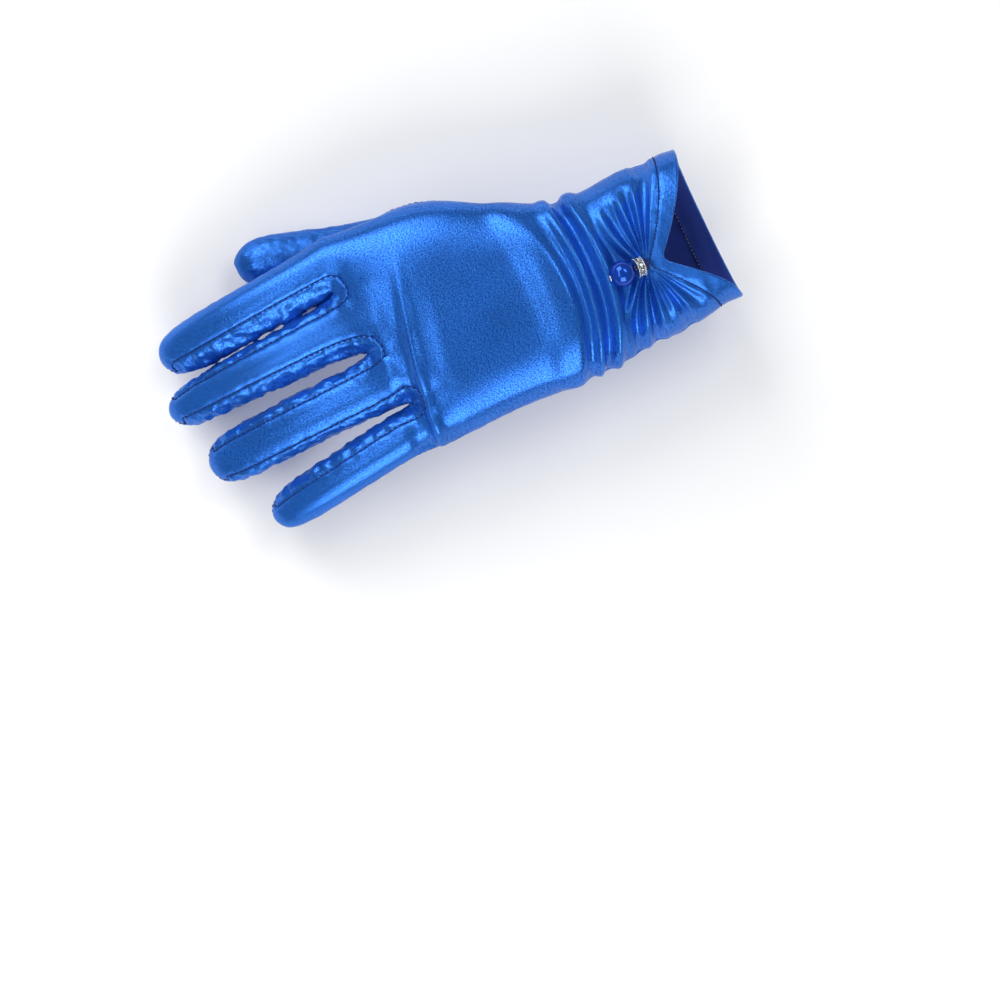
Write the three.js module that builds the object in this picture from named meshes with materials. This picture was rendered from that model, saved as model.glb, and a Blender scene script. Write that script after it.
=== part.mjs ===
// A wrist-length dress glove for the left hand, with the form that it has when it is worn.
// Stretch satin is drawn over the back of the hand, the fingers are a little bent and the
// thumb lies below the forefinger. The cuff has a turned hem that a few stitches pinch
// into a V, and a rhinestone rondelle and a pearl bead are sewn on below the pinch.
//
// The cloth is one Catmull-Clark surface over a coarse cage of named rows and columns.
// It is cut along the glove's own seams into panels, and each panel is given its thickness.
//
// x runs to the thumb side, y to the fingertips and z out of the back of the hand.
// The origin is the middle of the mouth, where the wrist goes in. Millimetres.

import * as THREE from "three";

// Sizes of the cloth
const PALM_LENGTH = 141; // mouth to the fork of the middle and ring fingers
const CUFF_LENGTH = 64; // mouth to the end of the gathered cloth
const HEM_TILT = 8.5; // the hem's thumb-side corner lies this much nearer to the fingers
const MOUTH_WIDTH = 65;
const WRIST_WIDTH = 70;
const KNUCKLE_WIDTH = 96;
const MOUTH_DEPTH = 39; // the depths are from the back of the hand to the palm
const WRIST_DEPTH = 39.5;
const KNUCKLE_DEPTH = 24;
const WALL = 1.2; // the cloth
const HEM_WALL = 1.9; // the hem, where the cloth lies double
const SEAM_GAP = 0.34; // between two panels, and between a panel and what lies on it
const WEB_DEPTH = 6.5; // a strip between two fingers reaches this far below their fork
const WEB_NARROWING = 0.72; // its width there, as a share of its width at the fork
const FORK_DIP = 3; // the fork's own middle lies this much lower than its edges

// The pinch in the cuff
const GATHER_LENGTH = 28.5; // mouth to the pinch
const GATHER_SHARE = 0.19; // what is left there of the cloth's length
const FOLD_RISE = 2.1; // the deepest fold
const FOLD_BREADTH = 3.2; // half of a fold's width at its open end
const FOLD_START = 0.35; // a fold's width at the pinch, as a share of its open end's
const DIMPLE = 1.6; // how far the pinch sinks in

// The fingers and the thumb
const FINGER_LENGTH = 86; // the middle finger, from its root to its tip
const FINGER_WIDTH = 21.5;
const FINGER_THICKNESS = 17;
const THUMB_LENGTH = 90; // from inside the palm
const THUMB_WIDTH = 22;
const THUMB_THICKNESS = 17;

// The ornament
const BEAD_DIAMETER = 10;
const BEAD_BORE = 1.7;
const PIN_DIAMETER = 0.9;
const PIN_HEAD_DIAMETER = 2.6;
const PIN_HEAD_THICKNESS = 0.7;
const RONDELLE_DIAMETER = 7.2;
const RONDELLE_WIDTH = 3.2;
const FLANGE = 0.6; // each of the rondelle's two discs
const RONDELLE_BORE = 1.7;
const STONE_COUNT = 9;
const STONE_DIAMETER = 1.7;
const STONE_DEPTH = 1.15;
const STONE_CLEARANCE = 0.12;
const STITCH_LENGTH = 4.4; // the bar of thread that holds the pinch
const STITCH_WIDTH = 2.2;

// Rows run across the glove, from the mouth's edge (0) to the forks of the fingers.
const HEM_ROWS = 2;
const FINE_ROWS = 11; // the back's folds are in these
const CUFF_ROWS = 15;
const WEB_ROW = 22;
const FORK_ROW = 23;
const THUMB_ROWS = [16, 20]; // the hole that the thumb is sewn into
const THUMB_COLUMNS = [13, 16];
const THUMB_INSET = 0.14; // the palm's columns keep this share of the width clear of the thumb

// Columns run along the glove, from the little finger's edge to the thumb side, as shares
// of the width. Finger columns come in threes, with one for each fork between them.
const SIDE_COLUMN = 16;
const PINCH_COLUMN = 7;
const FORK_COLUMNS = [4, 8, 12];
const AT_MOUTH = [
  0, 0.065, 0.13, 0.195, 0.255, 0.31, 0.365, 0.42, 0.47, 0.525, 0.585, 0.65, 0.715,
  0.785, 0.855, 0.93, 1,
];
const AT_KNUCKLES = [
  0, 0.06, 0.115, 0.175, 0.232, 0.287, 0.36, 0.433, 0.486, 0.545, 0.625, 0.702,
  0.757, 0.825, 0.885, 0.945, 1,
];

// The hand's outline from above and from the side. lean moves a section's middle towards
// the thumb, and crown is the share of its depth that lies above z = 0.
const SECTIONS = [
  { along: 0.0, width: MOUTH_WIDTH, lean: 0.0, depth: MOUTH_DEPTH, crown: 0.5 },
  { along: 0.11, width: 1.06 * MOUTH_WIDTH, lean: -0.025, depth: 1.02 * MOUTH_DEPTH, crown: 0.5 },
  { along: 0.21, width: WRIST_WIDTH, lean: -0.045, depth: 1.01 * WRIST_DEPTH, crown: 0.5 },
  { along: 0.31, width: WRIST_WIDTH, lean: -0.077, depth: WRIST_DEPTH, crown: 0.5 },
  { along: 0.4, width: 1.035 * WRIST_WIDTH, lean: -0.087, depth: 0.99 * WRIST_DEPTH, crown: 0.5 },
  { along: 0.48, width: 0.785 * KNUCKLE_WIDTH, lean: -0.083, depth: 0.97 * WRIST_DEPTH, crown: 0.5 },
  { along: 0.58, width: 0.865 * KNUCKLE_WIDTH, lean: -0.053, depth: 1.52 * KNUCKLE_DEPTH, crown: 0.49 },
  { along: 0.68, width: 0.94 * KNUCKLE_WIDTH, lean: -0.031, depth: 1.5 * KNUCKLE_DEPTH, crown: 0.495 },
  { along: 0.78, width: 0.985 * KNUCKLE_WIDTH, lean: -0.033, depth: 1.43 * KNUCKLE_DEPTH, crown: 0.515 },
  { along: 0.89, width: KNUCKLE_WIDTH, lean: -0.049, depth: 1.3 * KNUCKLE_DEPTH, crown: 0.55 },
  { along: 1.0, width: KNUCKLE_WIDTH, lean: -0.06, depth: KNUCKLE_DEPTH, crown: 0.52 },
];
const ROUNDNESS = 2.3; // the sections' superellipse power
const LEAN_OF = KNUCKLE_WIDTH;

// Where the knuckle line lies over the columns, as shares of PALM_LENGTH.
const KNUCKLE_LINE = [
  { across: 0, along: 0.865 },
  { across: 0.232, along: 0.915 },
  { across: 0.486, along: 0.98 },
  { across: 0.757, along: 1.022 },
  { across: 1, along: 1.03 },
];

// The little, ring, middle and index finger. first is a finger's first column, yaw turns it towards
// the little finger's side, and taper is its width at the tip as a share of its width at the root.
// left and right are its seams' distances from its edges, as shares of its width, and null where
// the seam lies on the edge.
const FINGERS = [
  {
    first: 1, length: 0.878, width: 0.86, thickness: 0.912,
    taper: 0.98, yaw: 14.5, left: null, right: 0.26,
  },
  {
    first: 5, length: 0.988, width: 0.93, thickness: 0.971,
    taper: 1.04, yaw: 8.3, left: 0.12, right: 0.17,
  },
  {
    first: 9, length: 1, width: 1, thickness: 1,
    taper: 0.78, yaw: 8.6, left: 0.27, right: 0.15,
  },
  {
    first: 13, length: 0.924, width: 0.977, thickness: 0.971,
    taper: 0.98, yaw: 10.5, left: 0.36, right: null,
  },
];
const FINGER_BEND = [
  { along: 0, pitch: 3 },
  { along: 0.3, pitch: 7 },
  { along: 0.55, pitch: 17 },
  { along: 0.75, pitch: 24 },
  { along: 1, pitch: 30 },
];
const FINGER_RINGS = [
  { along: 0.11, size: 1 },
  { along: 0.34, size: 1 },
  { along: 0.57, size: 0.98 },
  { along: 0.78, size: 0.97 },
  { along: 0.93, size: 0.82 },
];
const OUTER_COLUMN_DEGREES = 45; // where the column next to an outer edge lies
const STRIP_EDGE_DEGREES = 22; // where the strip between two fingers turns
const CAGE_SWELL = 1.07; // the cage stands outside the surface that it makes
const TIP_ALONG = 1.03; // the cage's point at a fingertip

const THUMB_BEND = [
  { along: 0, yaw: -20, pitch: 64 },
  { along: 0.12, yaw: -12, pitch: 44 },
  { along: 0.26, yaw: -5, pitch: 18 },
  { along: 0.45, yaw: -6, pitch: 2 },
  { along: 0.7, yaw: -11, pitch: -3 },
  { along: 1, yaw: -15, pitch: -6 },
];
const THUMB_RINGS = [
  { along: 0.24, size: 0.9 },
  { along: 0.4, size: 0.9 },
  { along: 0.57, size: 0.92 },
  { along: 0.77, size: 0.96 },
  { along: 0.93, size: 0.84 },
];

// The folds that the pinch draws, and those across the wrist and the knuckles. A place is its share
// of the width and its share of PALM_LENGTH, and over is the curve's middle point. rise and breadth
// are shares of the fold sizes. A fold that starts at the pinch is narrow there.
const PINCH = [0.43, GATHER_LENGTH / PALM_LENGTH];
const FOLDS = [
  { from: PINCH, over: [0.2, 0.14], to: [-0.02, 0.055], rise: -0.6, breadth: 0.7 },
  { from: PINCH, over: [0.2, 0.155], to: [-0.02, 0.092], rise: 0.9, breadth: 0.8 },
  { from: PINCH, over: [0.22, 0.17], to: [-0.02, 0.13], rise: -0.9, breadth: 0.8 },
  { from: PINCH, over: [0.22, 0.195], to: [-0.02, 0.172], rise: 0.9, breadth: 0.8 },
  { from: PINCH, over: [0.2, 0.215], to: [-0.02, 0.215], rise: -0.8, breadth: 0.8 },
  { from: PINCH, over: [0.22, 0.26], to: [-0.02, 0.27], rise: 0.9, breadth: 1.1 },
  { from: PINCH, over: [0.7, 0.165], to: [1.02, 0.14], rise: -0.9, breadth: 0.9 },
  { from: PINCH, over: [0.7, 0.195], to: [1.02, 0.178], rise: 0.9, breadth: 0.9 },
  { from: PINCH, over: [0.7, 0.225], to: [0.96, 0.222], rise: -1, breadth: 0.9 },
  { from: PINCH, over: [0.68, 0.265], to: [1.02, 0.275], rise: 0.9, breadth: 1.1 },
  { from: [-0.02, 0.32], over: [0.42, 0.265], to: [1.02, 0.345], rise: -0.8, breadth: 1 },
  { from: [-0.02, 0.368], over: [0.45, 0.325], to: [1.02, 0.4], rise: 0.8, breadth: 1 },
  { from: [-0.02, 0.42], over: [0.45, 0.365], to: [1.02, 0.45], rise: -0.7, breadth: 1.1 },
  { from: [-0.02, 0.462], over: [0.45, 0.42], to: [1.02, 0.5], rise: 0.35, breadth: 1.3 },
  { from: [-0.02, 0.87], over: [0.35, 0.877], to: [0.8, 0.84], rise: 0.7, breadth: 0.9 },
];
const FOLDS_FADE = [0.957, 1.042]; // between these shares of PALM_LENGTH they end
const FOLD_SAMPLES = 24;

const radians = THREE.MathUtils.degToRad;
const lerp = THREE.MathUtils.lerp;
const smoothstep = THREE.MathUtils.smoothstep;
const clamp = THREE.MathUtils.clamp;

// A table's column at a place, on a smooth curve through its rows.
function between(rows, key, at, by = "along") {
  const last = rows.length - 1;
  let i = 0;
  while (i < last - 1 && at > rows[i + 1][by]) i++;
  const slope = (k) => {
    const a = rows[Math.max(k - 1, 0)];
    const b = rows[Math.min(k + 1, last)];
    return (b[key] - a[key]) / (b[by] - a[by]);
  };
  const span = rows[i + 1][by] - rows[i][by];
  const t = clamp((at - rows[i][by]) / span, 0, 1);
  const t2 = t * t;
  const t3 = t2 * t;
  return (
    (2 * t3 - 3 * t2 + 1) * rows[i][key] +
    (t3 - 2 * t2 + t) * span * slope(i) +
    (3 * t2 - 2 * t3) * rows[i + 1][key] +
    (t3 - t2) * span * slope(i + 1)
  );
}

const widthAt = (y) => between(SECTIONS, "width", y / PALM_LENGTH);
const middleAt = (y) => LEAN_OF * between(SECTIONS, "lean", y / PALM_LENGTH);
const columnShare = (column, row) =>
  lerp(AT_MOUTH[column], AT_KNUCKLES[column], smoothstep(row / CUFF_ROWS, 0, 1));
const knuckleLine = (across) =>
  PALM_LENGTH * between(KNUCKLE_LINE, "along", across, "across");

// How far along the glove a row's point lies, before the pinch.
function plainAlong(across, row) {
  const hem = (across - 0.5) * HEM_TILT;
  const cuffEnd = CUFF_LENGTH + (across - 0.5) * 0.7 * HEM_TILT;
  const knuckles = knuckleLine(across);
  if (row <= CUFF_ROWS) return lerp(hem, cuffEnd, row / CUFF_ROWS);
  if (row >= FORK_ROW) return knuckles;
  const share = (row - CUFF_ROWS) / (WEB_ROW - CUFF_ROWS);
  return lerp(cuffEnd, knuckles - WEB_DEPTH + FORK_DIP, share);
}

// The pinch draws the rows of the back together, fully at its own column and not at the edges.
function pinchedAlong(across, row) {
  const plain = plainAlong(across, row);
  const pinch = columnShare(PINCH_COLUMN, row);
  const away = across < pinch ? 1 - across / pinch : (across - pinch) / (1 - pinch);
  const distance = plain - GATHER_LENGTH;
  const eased = clamp(distance / (CUFF_LENGTH - GATHER_LENGTH), 0, 1);
  const drawn = GATHER_LENGTH + distance * lerp(GATHER_SHARE, 1, eased);
  return lerp(plain, drawn, (1 - clamp(away, 0, 1)) ** 1.5);
}

// A section's height above or below its middle plane. The knuckles make it wavy near the forks.
const VALLEYS = { fork: 0.42, seam: 0.8 };
const VALLEY_ROWS = { 21: 0.1, 22: 0.4, 23: 1 };
function heightAt(column, across, y, side, row) {
  const depth = between(SECTIONS, "depth", y / PALM_LENGTH);
  const crown = between(SECTIONS, "crown", y / PALM_LENGTH);
  const bulge = (1 - Math.abs(2 * across - 1) ** ROUNDNESS) ** (1 / ROUNDNESS);
  const fork = FORK_COLUMNS.includes(column);
  const seam = FORK_COLUMNS.includes(column - 1) || FORK_COLUMNS.includes(column + 1);
  const valley = fork ? VALLEYS.fork : seam ? VALLEYS.seam : 1;
  const share = side > 0 ? crown : 1 - crown;
  return side * share * depth * bulge * lerp(1, valley, VALLEY_ROWS[row] ?? 0);
}

// The cage: points, and quads that each belong to a panel. Fine quads are split once more.
const points = [];
const quads = [];
const addPoint = (x, y, z) => points.push(new THREE.Vector3(x, y, z)) - 1;
const addQuad = (corners, panel, fine) => quads.push({ corners, panel, fine });

const inside = (value, [low, high]) => value > low && value < high;
const inThumbHole = (row, column) => inside(row, THUMB_ROWS) && inside(column, THUMB_COLUMNS);
const besideThumb = (row) =>
  smoothstep(row, THUMB_ROWS[0], THUMB_ROWS[0] + 2) *
  (1 - smoothstep(row, THUMB_ROWS[1], THUMB_ROWS[1] + 3));

function palmPoint(row, column, side) {
  if (side < 0 && inThumbHole(row, column)) return -1;
  const besideFork = (step) => FORK_COLUMNS.includes(column + step);
  let across = columnShare(column, row);
  if (row === WEB_ROW && (besideFork(-1) || besideFork(1))) {
    const fork = columnShare(column + (besideFork(1) ? 1 : -1), row);
    across = lerp(fork, across, WEB_NARROWING);
  }
  if (side < 0) across -= THUMB_INSET * besideThumb(row) * across ** 3;
  let y = side > 0 ? pinchedAlong(across, row) : plainAlong(across, row);
  if (row === WEB_ROW && besideFork(0)) y -= 0.2 * WEB_DEPTH;
  const x = middleAt(y) + (across - 0.5) * widthAt(y);
  return addPoint(x, y, heightAt(column, across, y, side, row));
}

const back = [];
const palm = [];
for (let row = 0; row <= FORK_ROW; row++) {
  back.push(AT_MOUTH.map((_, column) => palmPoint(row, column, 1)));
  palm.push(
    AT_MOUTH.map((_, column) =>
      column % SIDE_COLUMN === 0 ? back[row][column] : palmPoint(row, column, -1),
    ),
  );
}
const forkMiddles = new Map(
  FORK_COLUMNS.map((column) => {
    const middle = points[back[FORK_ROW][column]].clone().lerp(points[palm[FORK_ROW][column]], 0.5);
    middle.y -= FORK_DIP;
    return [column, addPoint(...middle)];
  }),
);

const STRIPS = ["fourchette_ring_little", "fourchette_middle_ring", "fourchette_index_middle"];
function palmPanel(row, column, cloth) {
  const fork = FORK_COLUMNS.findIndex((at) => at === column || at === column + 1);
  if (row < HEM_ROWS) return "cuff_hem";
  return row === WEB_ROW && fork >= 0 ? STRIPS[fork] : cloth;
}
for (let row = 0; row < FORK_ROW; row++) {
  for (let column = 0; column < SIDE_COLUMN; column++) {
    const [a, b, c, d] = [
      back[row][column], back[row][column + 1], back[row + 1][column + 1], back[row + 1][column],
    ];
    const backPanel = palmPanel(row, column, "back_panel");
    addQuad([a, b, c, d], backPanel, row < FINE_ROWS || STRIPS.includes(backPanel));
    const hole = row >= THUMB_ROWS[0] && row < THUMB_ROWS[1] && column >= THUMB_COLUMNS[0];
    if (hole) continue;
    const under = [
      palm[row][column], palm[row + 1][column], palm[row + 1][column + 1], palm[row][column + 1],
    ];
    addQuad(under, palmPanel(row, column, "palm_panel"), false);
  }
}

// A finger's centreline, walked in short steps, and the frame at a share of its length.
const PATH_STEPS = 60;
function walk(start, length, yawAt, pitchAt) {
  const at = start.clone();
  const path = [at.clone()];
  for (let i = 0; i < PATH_STEPS * 1.1; i++) {
    const share = (i + 0.5) / PATH_STEPS;
    const yaw = radians(yawAt(share));
    const pitch = radians(pitchAt(share));
    const step = new THREE.Vector3(
      -Math.sin(yaw) * Math.cos(pitch), Math.cos(yaw) * Math.cos(pitch), -Math.sin(pitch),
    );
    path.push(at.addScaledVector(step, length / PATH_STEPS).clone());
  }
  return (share) => {
    const i = clamp(Math.floor(share * PATH_STEPS), 0, path.length - 2);
    const along = path[i + 1].clone().sub(path[i]).normalize();
    const aside = along.clone().cross(new THREE.Vector3(0, 0, 1)).normalize();
    const point = path[i].clone().lerp(path[i + 1], share * PATH_STEPS - i);
    return { point, aside, above: aside.clone().cross(along) };
  };
}

// Rings of cage points along a stall, joined to its root ring and closed by quads round the tip.
function addStall(root, frameAt, rings, size, degrees, panelOf, isFine) {
  let before = root;
  rings.forEach((ring, band) => {
    const { point, aside, above } = frameAt(ring.along);
    const swell = 0.5 * ring.size * CAGE_SWELL;
    const wide = swell * size.width * lerp(1, size.taper, ring.along);
    const high = swell * size.thickness;
    const made = degrees.map((angle) => {
      const place = point.clone().addScaledVector(aside, wide * Math.cos(radians(angle)));
      return addPoint(...place.addScaledVector(above, high * Math.sin(radians(angle))));
    });
    made.forEach((_, i) => {
      const next = (i + 1) % made.length;
      addQuad([before[i], before[next], made[next], made[i]], panelOf(i), isFine(i, band));
    });
    before = made;
  });
  const tip = addPoint(...frameAt(TIP_ALONG).point);
  for (let i = 1; i < before.length; i += 2) {
    const [next, far] = [(i + 1) % before.length, (i + 2) % before.length];
    addQuad([tip, before[i], before[next], before[far]], panelOf(i, true), isFine(i));
  }
}

// A finger's ring goes from its left seam over the back, down the thumb side and under the palm.
function addFinger(finger, order) {
  const c = finger.first;
  const [top, bottom] = [back[FORK_ROW], palm[FORK_ROW]];
  const wallTo = (column) => [top[column], forkMiddles.get(column), bottom[column]];
  const seamAngle = (inset) =>
    inset === null ? OUTER_COLUMN_DEGREES : THREE.MathUtils.radToDeg(Math.acos(1 - 2 * inset));
  const [right, left] = [seamAngle(finger.right), 180 - seamAngle(finger.left)];
  const middle = (left + right) / 2;
  const turn = STRIP_EDGE_DEGREES;
  const rightWall = finger.right === null ? [0] : [turn, 0, -turn];
  const leftWall = finger.left === null ? [180] : [180 + turn, 180, 180 - turn];
  const degrees = [left, middle, right, ...rightWall, -right, -middle, -left, ...leftWall];
  const root = [
    ...[top[c], top[c + 1], top[c + 2]],
    ...(finger.right === null ? [top[SIDE_COLUMN]] : wallTo(c + 3)),
    ...[bottom[c + 2], bottom[c + 1], bottom[c]],
    ...(finger.left === null ? [top[0]] : wallTo(c - 1).reverse()),
  ];
  const centre = root
    .reduce((sum, i) => sum.add(points[i]), new THREE.Vector3())
    .divideScalar(root.length);
  const size = {
    length: finger.length * FINGER_LENGTH,
    width: finger.width * FINGER_WIDTH,
    thickness: finger.thickness * FINGER_THICKNESS,
    taper: finger.taper,
  };
  const pitchAt = (share) => between(FINGER_BEND, "pitch", share);
  const frameAt = walk(centre, size.length, () => finger.yaw, pitchAt);
  // Walls are counted from the right seam (2) and from the left palm seam, three steps further on.
  const palmStart = 3 + rightWall.length;
  const leftStart = palmStart + 3;
  const panelOf = (i, atTip = false) => {
    const middleOf = atTip ? i + 1 : i + 0.5;
    if (finger.right !== null && middleOf > 2 && middleOf < palmStart) return STRIPS[order];
    if (finger.left !== null && middleOf > leftStart - 1 && middleOf < root.length)
      return STRIPS[order - 1];
    if (middleOf >= 3 && middleOf < leftStart) return "palm_panel";
    return middleOf < 3 || middleOf > leftStart ? "back_panel" : "palm_panel";
  };
  const isFine = (i) => degrees[i] > -1 && degrees[i] < 181;
  addStall(root, frameAt, FINGER_RINGS, size, degrees, panelOf, isFine);
}
FINGERS.forEach(addFinger);

// The thumb grows out of its hole below the forefinger's side of the palm.
const [thumbLow, thumbHigh] = THUMB_ROWS;
const [thumbInner, thumbOuter] = THUMB_COLUMNS;
const numbered = (from, to) => Array.from({ length: to - from + 1 }, (_, i) => from + i);
const holeRows = numbered(thumbLow, thumbHigh);
const holeColumns = numbered(thumbInner + 1, thumbOuter - 1);
const thumbRoot = [
  ...holeColumns.toReversed().map((column) => palm[thumbLow][column]),
  ...holeRows.map((row) => palm[row][thumbInner]),
  ...holeColumns.map((column) => palm[thumbHigh][column]),
  ...holeRows.toReversed().map((row) => palm[row][thumbOuter]),
];
const thumbStep = 360 / thumbRoot.length;
const thumbStart = 270 + 0.5 * (holeColumns.length - 1) * thumbStep;
const thumbDegrees = thumbRoot.map((_, i) => thumbStart - i * thumbStep);
const thumbCentre = thumbRoot
  .reduce((sum, i) => sum.add(points[i]), new THREE.Vector3())
  .divideScalar(thumbRoot.length);
const thumbFrame = walk(
  thumbCentre,
  THUMB_LENGTH,
  (share) => between(THUMB_BEND, "yaw", share),
  (share) => between(THUMB_BEND, "pitch", share),
);
const thumbSize = { width: THUMB_WIDTH, thickness: THUMB_THICKNESS, taper: 1 };
const thumbIsFine = (i, band) => !band; // next to the palm, and at the tip
addStall(thumbRoot, thumbFrame, THUMB_RINGS, thumbSize, thumbDegrees, () => "thumb", thumbIsFine);

// One Catmull-Clark step. A point keeps its number, and the edges' and quads' new points follow.
const edgeKey = (a, b) => (a < b ? `${a},${b}` : `${b},${a}`);
const mean = (vectors) =>
  vectors.reduce((sum, v) => sum.add(v), new THREE.Vector3()).divideScalar(vectors.length);

function refine(from) {
  const made = from.points.map(() => null);
  const rim = new Set(); // the points on the mouth's edge
  const edges = new Map();
  from.quads.forEach(({ corners }) => {
    const centre = mean(corners.map((i) => from.points[i]));
    corners.forEach((a, i) => {
      const key = edgeKey(a, corners[(i + 1) % 4]);
      if (!edges.has(key)) edges.set(key, { ends: [a, corners[(i + 1) % 4]], centres: [] });
      edges.get(key).centres.push(centre);
    });
  });
  const around = from.points.map(() => ({ centres: [], middles: [], borders: [] }));
  for (const edge of edges.values()) {
    const [a, b] = edge.ends.map((i) => from.points[i]);
    const middle = mean([a, b]);
    const border = edge.centres.length === 1;
    edge.number = made.push(border ? middle : mean([a, b, ...edge.centres])) - 1;
    if (border) [...edge.ends, edge.number].forEach((i) => rim.add(i));
    for (const i of edge.ends) (border ? around[i].borders : around[i].middles).push(middle);
  }
  const split = from.quads.map(({ corners, panel, fine }) => {
    const centre = mean(corners.map((i) => from.points[i]));
    const number = made.push(centre) - 1;
    corners.forEach((i) => around[i].centres.push(centre));
    const sides = corners.map((a, i) => edges.get(edgeKey(a, corners[(i + 1) % 4])).number);
    const children = corners.map((a, i) => ({
      corners: [a, sides[i], number, sides[(i + 3) % 4]],
      panel,
      fine,
    }));
    return { number, sides, children };
  });
  from.points.forEach((point, i) => {
    const { centres, middles, borders } = around[i];
    if (borders.length) {
      made[i] = point.clone().multiplyScalar(0.5).addScaledVector(mean(borders), 0.5);
      return;
    }
    const n = centres.length;
    made[i] = mean(centres)
      .addScaledVector(mean(middles), 2)
      .addScaledVector(point, n - 3)
      .divideScalar(n);
  });
  return { points: made, quads: split.flatMap(({ children }) => children), split, rim };
}

const first = refine({ points, quads });
const last = refine(refine(first));

// The smooth surface's normals, at every point of the first step.
const normals = last.points.map(() => new THREE.Vector3());
for (const { corners } of last.quads) {
  const [a, b, c, d] = corners.map((i) => last.points[i]);
  const across = c.clone().sub(a).cross(d.clone().sub(b));
  corners.forEach((i) => normals[i].add(across));
}
normals.forEach((normal) => normal.normalize());

// A fold's height at a place on the back, from its distance to the fold's curve.
function foldHeight(x, y) {
  const width = widthAt(y);
  const across = (x - middleAt(y)) / width + 0.5;
  const offset = (place) =>
    Math.hypot((place[0] - across) * width, place[1] * PALM_LENGTH - y);
  let height = 0;
  for (const { from, over, to, rise, breadth } of FOLDS) {
    let [nearest, share] = [Infinity, 0];
    for (let i = 0; i <= FOLD_SAMPLES; i++) {
      const t = i / FOLD_SAMPLES;
      const curve = (key) => {
        const control = 2 * over[key] - (from[key] + to[key]) / 2;
        return (1 - t) ** 2 * from[key] + 2 * t * (1 - t) * control + t * t * to[key];
      };
      const distance = offset([curve(0), curve(1)]);
      if (distance < nearest) [nearest, share] = [distance, t];
    }
    const fans = from === PINCH;
    const halfWidth = FOLD_BREADTH * breadth * (fans ? lerp(FOLD_START, 1, share) : 1);
    const fade = fans ? smoothstep(share, 0.02, 0.35) : 1;
    height += FOLD_RISE * rise * fade * Math.exp(-((nearest / halfWidth) ** 2));
  }
  return height - DIMPLE * Math.exp(-((offset(PINCH) / (2 * FOLD_BREADTH)) ** 2));
}

// The cloth's outer face: the smooth surface, with its folds on the back.
const cloth = last.points.slice(0, first.points.length).map((point, i) => {
  const facing = smoothstep(normals[i].z, 0, 0.55);
  const beforeFingers = 1 - smoothstep(point.y / PALM_LENGTH, ...FOLDS_FADE);
  const height = facing * beforeFingers > 0 ? foldHeight(point.x, point.y) : 0;
  return point.clone().addScaledVector(normals[i], height * facing * beforeFingers);
});

// A panel's faces: four for a fine quad, and one for another, with the points that its fine
// neighbours put on its edges.
const fineSides = new Set(quads.flatMap(({ fine }, i) => (fine ? first.split[i].sides : [])));
function panelFaces(name) {
  return quads.flatMap(({ corners, panel, fine }, quad) => {
    const { sides, number, children } = first.split[quad];
    if (panel !== name) return [];
    if (fine) return children;
    const round = corners.flatMap((corner, i) =>
      fineSides.has(sides[i]) ? [corner, sides[i]] : [corner],
    );
    return [{ corners: round, hub: round.length > 4 ? number : null }];
  });
}

// How far each point on a panel's edge is drawn in, so that panels stay a seam apart.
function seamShifts(edges) {
  const inward = new Map();
  for (const { a, b, normal } of edges) {
    const direction = cloth[b].clone().sub(cloth[a]).normalize();
    const left = normal.clone().cross(direction).normalize();
    for (const i of [a, b]) {
      if (!inward.has(i)) inward.set(i, []);
      inward.get(i).push(left);
    }
  }
  const shifts = new Map();
  for (const [i, sides] of inward) {
    const sum = sides.reduce((total, side) => total.add(side), new THREE.Vector3());
    const bend = sides.length > 1 ? Math.max(1 + sides[0].dot(sides[1]), 0.6) : 2;
    shifts.set(i, sum.multiplyScalar(SEAM_GAP / 2 / (sides.length > 1 ? bend : 1)));
  }
  return shifts;
}

function buildPanel(name, wall) {
  const faces = panelFaces(name);
  const around = ({ corners }) => corners.map((a, i) => [a, corners[(i + 1) % corners.length]]);
  const sides = new Map(faces.flatMap(around).map((side) => [`${side}`, side]));
  const rim = [...sides.values()].filter(([a, b]) => !sides.has(`${b},${a}`));
  const seams = rim.filter(([a, b]) => !(first.rim.has(a) && first.rim.has(b)));
  const shifts = seamShifts(
    seams.map(([a, b]) => ({ a, b, normal: normals[a].clone().add(normals[b]).normalize() })),
  );
  const numbers = new Map();
  const positions = [];
  const place = (i, depth) => {
    const key = `${i},${depth}`;
    if (!numbers.has(key)) {
      const point = cloth[i].clone().addScaledVector(normals[i], -depth);
      if (shifts.has(i)) point.add(shifts.get(i));
      numbers.set(key, positions.push(point) - 1);
    }
    return numbers.get(key);
  };
  const index = [];
  for (const face of faces) {
    const [a, b, c, d] = face.corners;
    const triangles = face.hub
      ? around(face).map((side) => [face.hub, ...side])
      : [[a, b, c], [a, c, d]];
    for (const [a, b, c] of triangles) {
      index.push(place(a, 0), place(b, 0), place(c, 0));
      index.push(place(c, wall), place(b, wall), place(a, wall));
    }
  }
  for (const [a, b] of rim) {
    index.push(place(b, 0), place(a, 0), place(a, wall));
    index.push(place(b, 0), place(a, wall), place(b, wall));
  }
  return new THREE.BufferGeometry().setFromPoints(positions).setIndex(index);
}

const finish = (name, color, roughness, metalness) =>
  new THREE.MeshStandardMaterial({ name, color, roughness, metalness });
const satin = finish("satin", 0x1d5fd0, 0.42, 0);
const silver = finish("silver plate", 0xd6d8dc, 0.18, 1);
const crystal = finish("rhinestone", 0xf2f6fb, 0.02, 0.2);
const pearl = finish("blue pearl", 0x16219c, 0.08, 0.25);
const thread = finish("sewing thread", 0x1748b8, 0.7, 0);

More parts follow.
